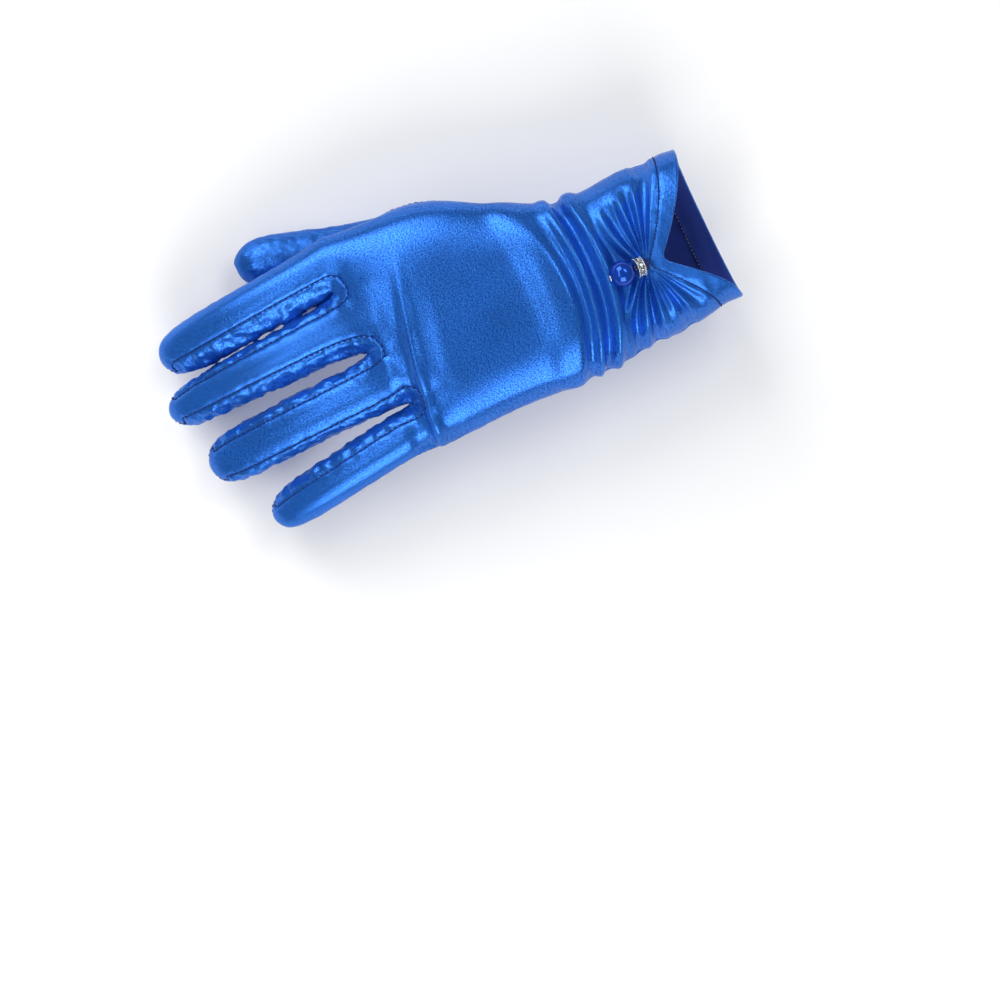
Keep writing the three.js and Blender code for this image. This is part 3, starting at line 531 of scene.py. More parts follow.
    def add_thumb(self):
        (low, high), (inner, outer) = THUMB_ROWS, THUMB_COLUMNS
        rows, columns = range(low, high + 1), range(inner + 1, outer)
        root = [self.palm[low][column] for column in reversed(columns)]
        root += [self.palm[row][inner] for row in rows]
        root += [self.palm[high][column] for column in columns]
        root += [self.palm[row][outer] for row in reversed(rows)]
        step = 360 / len(root)
        start = 270 + 0.5 * (len(columns) - 1) * step
        degrees = [start - i * step for i in range(len(root))]
        sizes = self.sizes
        yaws = [(along, yaw) for along, yaw, pitch in THUMB_BEND]
        pitches = [(along, pitch) for along, yaw, pitch in THUMB_BEND]
        frame_at = walk(self.centre_of(root), sizes.thumb_length, yaws, pitches)
        shape = (sizes.thumb_length, sizes.thumb_width, 1, sizes.thumb_thickness)
        self.add_stall(root, frame_at, THUMB_RINGS, shape, degrees, lambda i, at_tip=False: "thumb")


def walk(start, length, yaws, pitches):
    """A finger's line, as a function from a share of it to its point, its sideways and its upward direction."""
    steps = 60
    path = [np.array(start)]
    for i in range(int(steps * 1.1)):
        yaw, pitch = (math.radians(between(rows, (i + 0.5) / steps)) for rows in (yaws, pitches))
        step = (-math.sin(yaw) * math.cos(pitch), math.cos(yaw) * math.cos(pitch), -math.sin(pitch))
        path.append(path[-1] + np.array(step) * length / steps)

    def frame_at(share):
        i = int(np.clip(share * steps, 0, len(path) - 2))
        along = path[i + 1] - path[i]
        along = along / np.linalg.norm(along)
        aside = np.cross(along, (0, 0, 1))
        aside /= np.linalg.norm(aside)
        return lerp(path[i], path[i + 1], share * steps - i), aside, np.cross(aside, along)

    return frame_at


def edges_of(quads):
    """The quads' edges as pairs of point numbers, and for each quad the numbers of its four sides."""
    ends = np.sort(np.stack([quads, np.roll(quads, -1, axis=1)], axis=2).reshape(-1, 2), axis=1)
    edges, sides = np.unique(ends, axis=0, return_inverse=True)
    return edges, sides.reshape(-1, 4)


def refine(points, quads, panels, turns):
    """One Catmull-Clark step. A point keeps its number, and the edges' and the quads' points follow."""
    count = len(points)
    edges, sides = edges_of(quads)
    centres = points[quads].mean(axis=1)
    middles = points[edges].mean(axis=1)
    beside = np.zeros((len(edges), points.shape[1]))
    np.add.at(beside, sides.ravel(), np.repeat(centres, 4, axis=0))
    border = np.bincount(sides.ravel(), minlength=len(edges)) == 1
    edge_points = np.where(border[:, None], middles, (2 * middles + beside) / 4)

    n = np.bincount(quads.ravel(), minlength=count)[:, None]
    centre_sum, middle_sum, border_sum = (np.zeros_like(points) for _ in range(3))
    np.add.at(centre_sum, quads.ravel(), np.repeat(centres, 4, axis=0))
    on_border = np.zeros(count, bool)
    for end in edges.T:
        np.add.at(middle_sum, end, middles)
        np.add.at(border_sum, end[border], middles[border])
        on_border[end[border]] = True
    moved = (centre_sum / n + 2 * middle_sum / n + (n - 3) * points) / n
    vertex_points = np.where(on_border[:, None], points / 2 + border_sum / 4, moved)

    face_numbers = count + len(edges) + np.arange(len(quads))
    split = [
        np.stack([quads[:, i], count + sides[:, i], face_numbers, count + sides[:, i - 1]], axis=1)
        for i in range(4)
    ]
    new_quads = np.stack(split, axis=1).reshape(-1, 4)
    turned = (turns[:, None] + np.arange(4)) % 2
    new_turns = np.where(turns[:, None] < 0, -1, turned).ravel()
    return np.concatenate([vertex_points, edge_points, centres]), new_quads, np.repeat(panels, 4), new_turns


def split_lengthwise(points, quads, panels, turns, parts):
    """Quads along the fingers are cut into parts across their length, which their folds need."""
    long = turns >= 0
    stays, cut = quads[~long], quads[long]
    cut = np.where((turns[long] == 0)[:, None], np.roll(cut, -1, axis=1), cut)
    edges, sides = edges_of(cut)
    used = np.unique(sides[:, [1, 3]])
    place = np.full(len(edges), -1)
    place[used] = np.arange(len(used))
    low, high = points[edges[used, 0]], points[edges[used, 1]]
    new = [lerp(low, high, k / parts) for k in range(1, parts)]
    count = len(points)

    def along(side, start):
        """The numbers of the points along a side, from its start to its other end."""
        edge = edges[sides[:, side]]
        forward = edge[:, 0] == start
        inner = [
            count + len(used) * np.where(forward, k - 1, parts - 1 - k) + place[sides[:, side]]
            for k in range(1, parts)
        ]
        return [start, *inner, np.where(forward, edge[:, 1], edge[:, 0])]

    right, left = along(1, cut[:, 1]), along(3, cut[:, 0])
    pieces = [np.stack([left[k], right[k], right[k + 1], left[k + 1]], axis=1) for k in range(parts)]
    new_quads = np.concatenate([stays, np.stack(pieces, axis=1).reshape(-1, 4)])
    new_panels = np.concatenate([panels[~long], np.repeat(panels[long], parts)])
    return np.concatenate([points, *new]), new_quads, new_panels


def normals_of(points, quads):
    a, b, c, d = (points[quads[:, i]] for i in range(4))
    normals = np.zeros_like(points)
    np.add.at(normals, quads.ravel(), np.repeat(np.cross(c - a, d - b), 4, axis=0))
    return normals / np.maximum(np.linalg.norm(normals, axis=1, keepdims=True), 1e-12)


def fold_height(hand, points):
    """The folds' height on the back, from the distance to each fold's curve."""
    sizes = hand.sizes
    x, y = points[:, 0], points[:, 1]
    width = hand.width(y)
    place = np.stack([(x - hand.middle(y)) / width + 0.5, y / sizes.palm_length], axis=1)
    scale = np.stack([width, np.full_like(width, sizes.palm_length)], axis=1)
    pinch = np.array((PINCH_ACROSS, sizes.gather_length / sizes.palm_length))
    height = np.zeros(len(x))
    weight = np.full(len(x), SMOOTH_WEIGHT)
    t = np.linspace(0, 1, FOLD_SAMPLES + 1)[:, None]
    for start, over, end, rise, breadth in FOLDS:
        fans = start is None
        start = pinch if fans else np.array(start)
        control = 2 * np.array(over) - (start + end) / 2
        curve = (1 - t) ** 2 * start + 2 * t * (1 - t) * control + t * t * np.array(end)
        nearest = np.full(len(x), np.inf)
        share = np.zeros(len(x))
        for i in range(FOLD_SAMPLES):
            step = (curve[i + 1] - curve[i]) * scale
            reach = (place - curve[i]) * scale
            on = np.clip((reach * step).sum(1) / (step * step).sum(1), 0, 1)
            distance = np.linalg.norm(reach - step * on[:, None], axis=1)
            closer = distance < nearest
            nearest[closer] = distance[closer]
            share[closer] = (i + on[closer]) / FOLD_SAMPLES
        half_width = sizes.fold_breadth * breadth * (lerp(sizes.fold_start, 1, share) if fans else 1)
        fade = smoothstep(share, 0, 0.25 if fans else 0.05)
        if 0 <= end[0] < 0.9:
            fade *= smoothstep(share, 1, 0.6)
        closeness = np.exp(-((nearest / half_width) ** 2))
        height += sizes.fold_rise * rise * fade * closeness
        weight += closeness
    away = np.linalg.norm((place - pinch) * scale, axis=1)
    return height / weight - sizes.dimple * np.exp(-((away / (2 * sizes.fold_breadth)) ** 2))


def ripple(points, period, stretch, seed):
    """Smooth noise from -1 to 1 at each point, over about a period."""
    places = points / period * stretch + seed
    return np.array([noise.noise(Vector(place)) for place in places])


class Cloth:
    """The glove's surface in fine quads, with its folds, its panels and its seams."""

    def __init__(self, sizes):
        cage = Cage(sizes)
        mesh = (np.array(cage.points), np.array(cage.quads), np.array(cage.panels), np.array(cage.turns))
        for _ in range(LEVELS):
            mesh = refine(*mesh)
        points, self.quads, self.panels = split_lengthwise(*mesh, LENGTHWISE_SPLIT)
        self.hand = cage.hand
        self.sizes = sizes
        self.cloth = points[:, 3:]
        self.base = points[:, :3]
        self.round_corners(cage)
        self.normals = normals_of(self.base, self.quads)
        self.find_seams()
        self.points = self.base + self.normals * self.relief()[:, None]

    def round_corners(self, cage):
        """The strips end in a bow at their forks: the cloth round each corner is drawn towards the fork."""
        reach = self.sizes.corner_reach
        for column in FORK_COLUMNS:
            for sheet in (cage.back, cage.palm):
                fork = self.base[sheet[FORK_ROW][column]].copy()
                for side in (-1, 1):
                    corner = self.base[sheet[WEB_ROW][column + side]].copy()
                    inward = (fork - corner) / np.linalg.norm(fork - corner)
                    away = np.linalg.norm(self.base - corner, axis=1)
                    near = away < reach
                    draw = 0.38 * reach * (1 - away[near] / reach) ** 1.4
                    self.base[near] += inward * draw[:, None]

    def find_seams(self):
        """The edges where two panels meet, and how far each point is from the nearest one."""
        edges, sides = edges_of(self.quads)
        sides = sides.ravel()
        panel = np.repeat(self.panels, 4)
        low = np.full(len(edges), len(PANELS))
        high = np.full(len(edges), -1)
        np.minimum.at(low, sides, panel)
        np.maximum.at(high, sides, panel)
        uses = np.bincount(sides, minlength=len(edges))
        self.mouth = np.unique(edges[uses == 1])
        self.seams = {}
        for a, b, edge in zip(low, high, edges):
            if a != b:
                self.seams.setdefault((PANELS[a], PANELS[b]), []).append(edge)
        numbers = np.unique(edges[low != high])
        tree = KDTree(len(numbers))
        for i, number in enumerate(numbers):
            tree.insert(self.base[number], i)
        tree.balance()
        self.seam_distance = np.array([tree.find(point)[2] for point in self.base])

    def relief(self):
        """Each point's height over the smooth surface: folds, wrinkles, seams and puckers."""
        sizes, base, normals = self.sizes, self.base, self.normals
        height = np.zeros(len(base))
        length = sizes.palm_length
        facing = smoothstep(normals[:, 2], lerp(-0.5, 0, smoothstep(base[:, 1] / length, 0.45, 0.6)), 0.5)
        weight = facing * (1 - smoothstep(base[:, 1] / length, 0.957, 1.042))
        on = weight > 0
        height[on] = weight[on] * fold_height(self.hand, base[on])

        # The cuff's loose cloth waves all round, in ridges that run across it.
        in_cuff = 1 - smoothstep(base[:, 1], 0.3 * length, 0.6 * length)
        on = in_cuff > 0
        height[on] += in_cuff[on] * 0.35 * sizes.wrinkle * ripple(base[on], *CUFF_WAVES)
        # The palm's side has broader waves, which die out before the middle of the palm.
        on = (normals[:, 2] < 0.3) & (base[:, 1] < 0.62 * length)
        on_palm = smoothstep(-normals[on, 2], -0.3, 0.4) * (1 - smoothstep(base[on, 1] / length, 0.4, 0.61))
        height[on] += 1.6 * sizes.wrinkle * ripple(base[on], *PALM_WAVES) * on_palm

        # The strips between the fingers and the thumb are loose and crumple.
        loose = np.zeros(len(base))
        for name, looseness in LOOSENESS.items():
            loose[self.quads[self.panels == PANELS.index(name)]] = looseness
        loose *= (base[:, 1] > 0.95 * length) * smoothstep(self.seam_distance, 0, 2 * MM)
        on = loose > 0
        crumple = ripple(base[on], *COARSE_CRUMPLE) + 0.5 * ripple(base[on], *FINE_CRUMPLE)
        height[on] += sizes.wrinkle * loose[on] * crumple

        # Seams are drawn in, and the cloth beside them puckers between the stitches.
        distance = self.seam_distance
        near = distance < 6 * MM
        pucker = ripple(base[near], *SEAM_PUCKER) * np.exp(-((distance[near] / (2.4 * MM)) ** 2))
        height[near] += sizes.pucker * 2 * pucker
        return height - sizes.seam_sink * np.exp(-((distance / sizes.seam_reach) ** 2))

    def panel_mesh(self, name, thickness):
        """A panel as a closed body: outer face, inner face and rim."""
        mine = self.quads[self.panels == PANELS.index(name)]
        numbers = np.unique(mine)
        place = np.full(len(self.points), -1)
        place[numbers] = np.arange(len(numbers))
        quads = place[mine]
        edges, sides = edges_of(quads)
        uses = np.bincount(sides.ravel(), minlength=len(edges))
        on_edge, side = np.nonzero(uses[sides] == 1)
        rim = np.stack([quads[on_edge, side], quads[on_edge, (side + 1) % 4]], axis=1)
        outer = self.points[numbers].copy()
        inner = outer - self.normals[numbers] * thickness
        on_mouth = np.isin(numbers, self.mouth)
        # Panels stand a hair apart, so that the seam shows as a line.
        centre_sum = np.zeros_like(outer)
        count = np.bincount(quads.ravel(), minlength=len(outer))[:, None]
        np.add.at(centre_sum, quads.ravel(), np.repeat(outer[quads].mean(axis=1), 4, axis=0))
        inward = centre_sum / count - outer
        inward /= np.maximum(np.linalg.norm(inward, axis=1, keepdims=True), 1e-12)
        on_rim = np.zeros(len(outer), bool)
        on_rim[rim.ravel()] = True
        shift = np.where((on_rim & ~on_mouth)[:, None], inward * 0.04 * MM, 0)
        outer += shift
        inner += shift
        # The mouth's edge is rolled: its rim has a third row, which stands out a little.
        total = len(outer)
        rolled = lerp(outer, inner, 0.5) - np.where(on_mouth[:, None], inward * 0.4 * thickness, 0)
        roll_numbers = np.unique(rim)
        roll_place = np.full(total, -1)
        roll_place[roll_numbers] = 2 * total + np.arange(len(roll_numbers))
        a, b = rim.T
        faces = np.concatenate([
            quads,
            quads[:, ::-1] + total,
            np.stack([b, a, roll_place[a], roll_place[b]], axis=1),
            np.stack([roll_place[b], roll_place[a], a + total, b + total], axis=1),
        ])
        inside = np.zeros(len(faces), int)
        inside[len(quads) : 2 * len(quads)] = 1
        vertices = np.concatenate([outer, inner, rolled[roll_numbers]])
        cloth = self.cloth[numbers]
        cloth = np.concatenate([cloth, cloth, cloth[roll_numbers]])
        return vertices, faces, inside, cloth


def runs_of(edges):
    """Edges joined end to end into runs of point numbers. A closed run ends where it starts."""
    links = {}
    for a, b in edges:
        links.setdefault(int(a), set()).add(int(b))
        links.setdefault(int(b), set()).add(int(a))
    runs = []
    for start in sorted(links, key=lambda i: (len(links[i]) != 1, i)):
        while links[start]:
            run = [start]
            while links[run[-1]]:
                ahead = min(links[run[-1]])
                links[run[-1]].discard(ahead)
                links[ahead].discard(run[-1])
                run.append(ahead)
            runs.append(run)
    return runs


# Materials


def fill(node, inputs):
    """A node's inputs are set to values, or linked from other nodes' outputs."""
    for key, value in inputs.items():
        if isinstance(value, bpy.types.NodeSocket):
            node.id_data.links.new(value, node.inputs[key])
        else:
            node.inputs[key].default_value = value


def add_node(tree, kind, inputs=None, **settings):
    node = tree.nodes.new(f"ShaderNode{kind}")
    for key, value in settings.items():
        setattr(node, key, value)
    fill(node, inputs or {})
    return node


def new_material(name):
    """A node material with its shader and its output. Returns the material, its tree and the shader."""
    material = bpy.data.materials.new(name)
    material.use_nodes = True
    tree = material.node_tree
    tree.nodes.clear()
    shader = add_node(tree, "BsdfPrincipled")
    add_node(tree, "OutputMaterial", {"Surface": shader.outputs[0]})
    return material, tree, shader


def noise_over(tree, place, scale, detail):
    return add_node(tree, "TexNoise", {"Vector": place, "Scale": scale, "Detail": detail}).outputs[0]


def object_place(tree):
    return add_node(tree, "TexCoord").outputs["Object"]


def cloth_grain(tree, across, along, detail=2.0):
    """Noise on the cloth's own coordinates, which are in millimetres, with its size across and along."""
    place = add_node(tree, "Attribute", attribute_name="cloth").outputs["Vector"]
    scaled = add_node(tree, "Mapping", {"Vector": place, "Scale": (1 / across, 1 / along, 1)})
    return noise_over(tree, scaled.outputs[0], 1.0, detail)


def ranged(tree, value, low, high, start=0.0, end=1.0):
    """A value that runs from start to end, turned into one from low to high."""
    inputs = {"Value": value, "From Min": start, "From Max": end, "To Min": low, "To Max": high}
    return add_node(tree, "MapRange", inputs).outputs[0]


def toned(tree, base, value):
    """A colour, lighter or darker by a value."""
    return add_node(tree, "HueSaturation", {"Color": base, "Value": value}).outputs[0]


def mixed(tree, part, first, second):
    return add_node(tree, "Mix", {0: part, 6: first, 7: second}, data_type="RGBA").outputs[2]


def bumped(tree, height, strength, millimetres):
    inputs = {"Height": height, "Strength": strength, "Distance": millimetres * MM}
    return add_node(tree, "Bump", inputs).outputs[0]


def satin_material(colours):
    """Warp-faced polyester and elastane satin, woven and calendered. Its long floats give a broad,
    soft and bluish gleam, and its weave a fine sparkle, which is partly painted: the grain mixes a
    lighter blue into the satin's colour as painted glints."""
    material, tree, shader = new_material("woven_stretch_satin")
    # The real threads lie 0.1 mm apart. The grain is drawn about 0.6 mm wide, as fine as the render shows.
    grain = cloth_grain(tree, 0.5, 0.75)
    fine = cloth_grain(tree, 0.9, 0.35, 1.0)
    mottle = cloth_grain(tree, 14, 22, 3.0)
    # Painted sparkle: the weave's grain mixes in a lighter blue, as glints of the threads.
    shade = mixed(tree, ranged(tree, grain, 0, 1, 0.35, 0.65), colours.satin, colours.satin_sparkle_blue)
    height = add_node(tree, "Math", {0: grain, 1: fine}, operation="ADD").outputs[0]
    fill(shader, {
        "Base Color": toned(tree, shade, ranged(tree, mottle, 0.9, 1.08, 0.35, 0.65)),
        "Roughness": ranged(tree, grain, 0.31, 0.21, 0.3, 0.7),
        "Normal": bumped(tree, height, 1.0, 0.06),
        "Metallic": 0.55,
        "IOR": 1.5,
        "Specular Tint": linear("#b8d6ff"),
        "Sheen Weight": 0.03,
        "Sheen Roughness": 0.35,
        "Sheen Tint": linear("#7fb0ff"),
    })
    return material


def wrong_side_material(colours):
    """The satin's inner face: the same weave seen from behind, dull and a little fuzzy."""
    material, tree, shader = new_material("satin_wrong_side")
    grain = cloth_grain(tree, 0.5, 0.8)
    fill(shader, {
        "Base Color": toned(tree, colours.wrong_side, ranged(tree, grain, 0.8, 1.1, 0.3, 0.7)),
        "Normal": bumped(tree, grain, 0.5, 0.08),
        "Roughness": 0.85,
        "Sheen Weight": 0.3,
    })
    return material


def thread_material(colours):
    """Spun polyester sewing thread, dyed a blue that is darkened as painted shade of the stitch holes: twisted
    strands with a dull shine along the twist.
    """
    material, tree, shader = new_material("spun_polyester_thread")
    # The twist's strands lie 0.25 mm apart.
    inputs = {"Vector": object_place(tree), "Scale": 0.314 / (0.25 * MM), "Distortion": 1.0}
    twist = add_node(tree, "TexWave", inputs, bands_direction="DIAGONAL").outputs["Fac"]
    fill(shader, {
        "Base Color": toned(tree, colours.thread, ranged(tree, twist, 0.7, 1.25)),
        "Normal": bumped(tree, twist, 0.5, 0.05),
        "Roughness": 0.6,
    })
    return material


def silver_material(colours):
    """Silver-plated brass, cast and barrel-polished: mirror-bright, with fine wear in patches."""
    material, tree, shader = new_material("polished_silver_plate")
    wear = noise_over(tree, object_place(tree), 1 / (0.8 * MM), 4.0)
    fill(shader, {
        "Base Color": toned(tree, colours.silver, ranged(tree, wear, 0.75, 1.05)),
        "Roughness": ranged(tree, wear, 0.08, 0.3),
        "Metallic": 1.0,
    })
    return material


def crystal_material():
    """Lead crystal, machine-cut and foiled behind. The flash of its facets is painted: their colour runs from
    white to almost black.
    """
    material, tree, shader = new_material("foiled_cut_crystal")
    # Each facet mirrors another part of the foil.
    # Painted reflection: each facet's colour is set from white to almost black by its normal, as the flash of
    # the foil that it mirrors.
    facing = add_node(tree, "NewGeometry").outputs["True Normal"]
    facet = ranged(tree, noise_over(tree, facing, 2.6, 0.0), 0.04, 1.0, 0.38, 0.6)
    fill(shader, {
        "Base Color": toned(tree, linear("#eef4ff"), facet),
        "Metallic": 0.85,
        "Roughness": 0.04,
        "IOR": 1.55,
        "Coat Weight": 1.0,
        "Coat Roughness": 0.02,
    })
    return material


def bead_material(colours):
    """Imitation pearl: a glass core dipped in blue pearl lacquer, deep and glossy. Towards its edge it turns a
    darker violet: partly the lacquer's own violet, partly painted shade.
    """
    material, tree, shader = new_material("blue_pearl_lacquer")
    edge = add_node(tree, "LayerWeight", {"Blend": 0.35}).outputs["Facing"]
    cloud = noise_over(tree, object_place(tree), 1 / (3 * MM), 3.0)
    # Partly painted shade: towards the silhouette the colour turns to the darker violet of the rim.
    shade = mixed(tree, edge, colours.bead, colours.bead_rim_violet_and_shade)
    fill(shader, {
        "Base Color": toned(tree, shade, ranged(tree, cloud, 0.75, 1.25)),
        "Metallic": 0.45,
        "Roughness": 0.07,
        "Specular Tint": linear("#6fc8ff"),
        "Coat Weight": 0.3,
        "Coat Roughness": 0.03,
        "Coat IOR": 1.55,
    })
    return material


def floor_material(floor_colour):
    """White paper, matt, so that the glove keeps a soft shadow."""
    material, tree, shader = new_material("matt_white_paper")
    fibre = noise_over(tree, object_place(tree), 30.0, 3.0)
    fill(shader, {"Base Color": toned(tree, floor_colour, ranged(tree, fibre, 0.985, 1.0)), "Roughness": 0.95})
    return material


# Meshes


def add_piece(name, vertices, faces, materials, slot, nodes, smooth=True):
    """A mesh object that rides on the glove and stands for the given nodes."""
    mesh = bpy.data.meshes.new(name)
    mesh.from_pydata(np.asarray(vertices).tolist(), [], [list(map(int, face)) for face in faces])
    mesh.update()
    for material in materials:
        mesh.materials.append(material)
    mesh.polygons.foreach_set("use_smooth", [smooth] * len(mesh.polygons))
    piece = bpy.data.objects.new(name, mesh)
    bpy.context.scene.collection.objects.link(piece)
    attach(piece, "root")
    if nodes:
        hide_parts(*nodes)
    return piece


def tube_faces(rings, sides, close=False):
    """The faces between rings of points. close joins the last ring to the first, or else both are capped."""
    faces = []
    for i in range(rings if close else rings - 1):
        near, far = i * sides, (i + 1) % rings * sides
        for k in range(sides):
            n = (k + 1) % sides
            faces.append([near + k, near + n, far + n, far + k])
    if not close:
        faces += [list(range(sides))[::-1], [(rings - 1) * sides + k for k in range(sides)]]
    return faces


def lathe(profile, sides, close=False):
    """A profile of (radius, height) turned about z. close joins its end to its start."""
    out, up = np.array(profile).T
    turn = np.linspace(0, 2 * np.pi, sides, endpoint=False)
    rings = [np.outer(out, np.cos(turn)), np.outer(out, np.sin(turn)), np.outer(up, np.ones(sides))]
    return np.stack(rings, axis=2).reshape(-1, 3), tube_faces(len(out), sides, close)


def joined(parts):
    """Several (vertices, faces) as one."""
    vertices, faces, count = [], [], 0
    for part_vertices, part_faces in parts:
        vertices.append(np.asarray(part_vertices))
        faces += [[i + count for i in face] for face in part_faces]
        count += len(part_vertices)
    return np.concatenate(vertices), faces


def placed(part, matrix):
    vertices, faces = part
    matrix = np.array(matrix)
    return np.asarray(vertices) @ matrix[:3, :3].T + matrix[:3, 3], faces


def frame_along(along, up, place):
    """A matrix whose x runs along, and whose z is as near to up as it can be."""
    side = np.cross(up, along)
    side /= max(np.linalg.norm(side), 1e-9)
    matrix = np.eye(4)
    matrix[:3] = np.stack([along, side, np.cross(along, side), place], axis=1)
    return matrix


def stitch(length, thickness, arch):
    """A stitch along x: a rounded length of thread, which dips into the cloth at both ends."""
    sides, rings = 6, 7
    vertices = []
    for i in range(rings):
        part = i / (rings - 1)
        radius = 0.5 * thickness * max(math.sin(math.pi * lerp(0.06, 0.94, part)) ** 0.5, 0.2)
        x, z = (part - 0.5) * length, arch * (1 - (2 * part - 1) ** 2) - 0.5 * arch
        for k in range(sides):
            turn = 2 * math.pi * k / sides
            vertices.append((x, radius * math.cos(turn), z + radius * math.sin(turn)))
    return np.array(vertices), tube_faces(rings, sides)


def stitch_row(places, ups, pitch, thickness, lift):
    """Stitches along a line of places, each lying on the cloth."""
    steps = np.linalg.norm(np.diff(places, axis=0), axis=1)
    reach = np.concatenate([[0], np.cumsum(steps)])
    length = STITCH_SHARE * pitch
    one = stitch(length, thickness, STITCH_ARCH)

    def at(rows, distance):
        return np.array([np.interp(distance, reach, row) for row in rows.T])

    made = []
    count = max(int(reach[-1] / pitch), 1)
    for middle in (np.arange(count) + 0.5) * reach[-1] / count:
        along = at(places, middle + 0.5 * length) - at(places, middle - 0.5 * length)
        along /= max(np.linalg.norm(along), 1e-9)
        matrix = frame_along(along, at(ups, middle), at(places, middle))
        matrix[:3, 3] += matrix[:3, 2] * lift
        made.append(placed(one, matrix))
    return made


BUILT = {}


def built(key):
    if key not in BUILT:
        raise RuntimeError(f"build the {key} first")
    return BUILT[key]


class GLOVE_OT_cloth(bpy.types.Operator):
    """Build the satin panels: hem, back, palm, fourchettes and thumb"""

    bl_idname = "glove.cloth"
    bl_label = "Satin panels"

    def execute(self, context):
        sizes, colours = context.scene.glove_sizes, context.scene.glove_colours
        cloth = BUILT["cloth"] = Cloth(sizes)
        outside, inside = satin_material(colours), wrong_side_material(colours)
        for name in PANELS:
            thickness = sizes.hem_cloth if name == "cuff_hem" else sizes.cloth
            vertices, faces, inner, places = cloth.panel_mesh(name, thickness)
            piece = add_piece(f"satin_{name}", vertices, faces, [outside, inside], "satin", [name])
            piece.data.polygons.foreach_set("material_index", inner)
            attribute = piece.data.attributes.new("cloth", "FLOAT_VECTOR", "POINT")
            flat = np.zeros((len(vertices), 3))
            flat[:, :2] = places / MM
            attribute.data.foreach_set("vector", flat.ravel())
        return {"FINISHED"}


class GLOVE_OT_stitches(bpy.types.Operator):
    """Sew the hem and the finger seams"""

    bl_idname = "glove.stitches"
    bl_label = "Stitches"

    def execute(self, context):
        sizes = context.scene.glove_stitches
        cloth = built("cloth")
        thread = BUILT["thread"] = thread_material(context.scene.glove_colours)
        rows = {"hem": [], "fourchette": [], "thumb": [], "side": []}
        for pair, edges in cloth.seams.items():
            if "cuff_hem" in pair:
                kind = "hem"
            elif "thumb" in pair:
                kind = "thumb"
            else:
                kind = "side" if pair == ("back_panel", "palm_panel") else "fourchette"
            pitch = sizes.hem_pitch if kind == "hem" else sizes.seam_pitch
            # The side seams' stitches are pulled deeper into the cloth than the rest.
            lift = SIDE_STITCH_LIFT if kind == "side" else STITCH_LIFT
            for run in runs_of(edges):
                rows[kind] += stitch_row(cloth.points[run], cloth.normals[run], pitch, sizes.thread, lift)
        for kind, made in rows.items():
            add_piece(f"{kind}_stitches", *joined(made), [thread], "thread", [])
        return {"FINISHED"}


def box_middle(node):
    low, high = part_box(node)
    return (Vector(low) + Vector(high)) / 2


def ornament_matrix():
    """The ornament's frame: its origin at the rondelle and z along the pin towards the bead."""
    rondelle, bead = box_middle("rondelle"), box_middle("pearl_bead")
    turn = (bead - rondelle).to_track_quat("Z", "Y")
    return Matrix.Translation(rondelle) @ turn.to_matrix().to_4x4(), (bead - rondelle).length


class GLOVE_OT_gather(bpy.types.Operator):
    """Wind the stitches that hold the pinch"""

    bl_idname = "glove.gather"
    bl_label = "Gather stitches"

    def execute(self, context):
        sizes = context.scene.glove_stitches
        thread = built("thread")
        pin_line = ornament_matrix()[0].to_3x3().col[2]
        made = []
        # The strands lie side by side over the pinch, each a little longer or shorter than the next.
        for i in range(GATHER_STRANDS):
            part = 2 * i / (GATHER_STRANDS - 1) - 1
            place = box_middle("gather_stitch") + pin_line * (part * 0.42 * sizes.gather_width)
            length = sizes.gather_length * (0.96 - 0.16 * part * part + 0.05 * math.sin(5.1 * i))
            turn = math.radians(6 * math.sin(3.7 * i))
            along = (math.cos(turn), math.sin(turn), 0)
            strand = stitch(length, 1.25 * sizes.thread, 0.5 * sizes.gather_width)
            made.append(placed(strand, frame_along(along, (0, 0, 1), place)))
        add_piece("gather_strands", *joined(made), [thread], "thread", ["gather_stitch"])
        return {"FINISHED"}


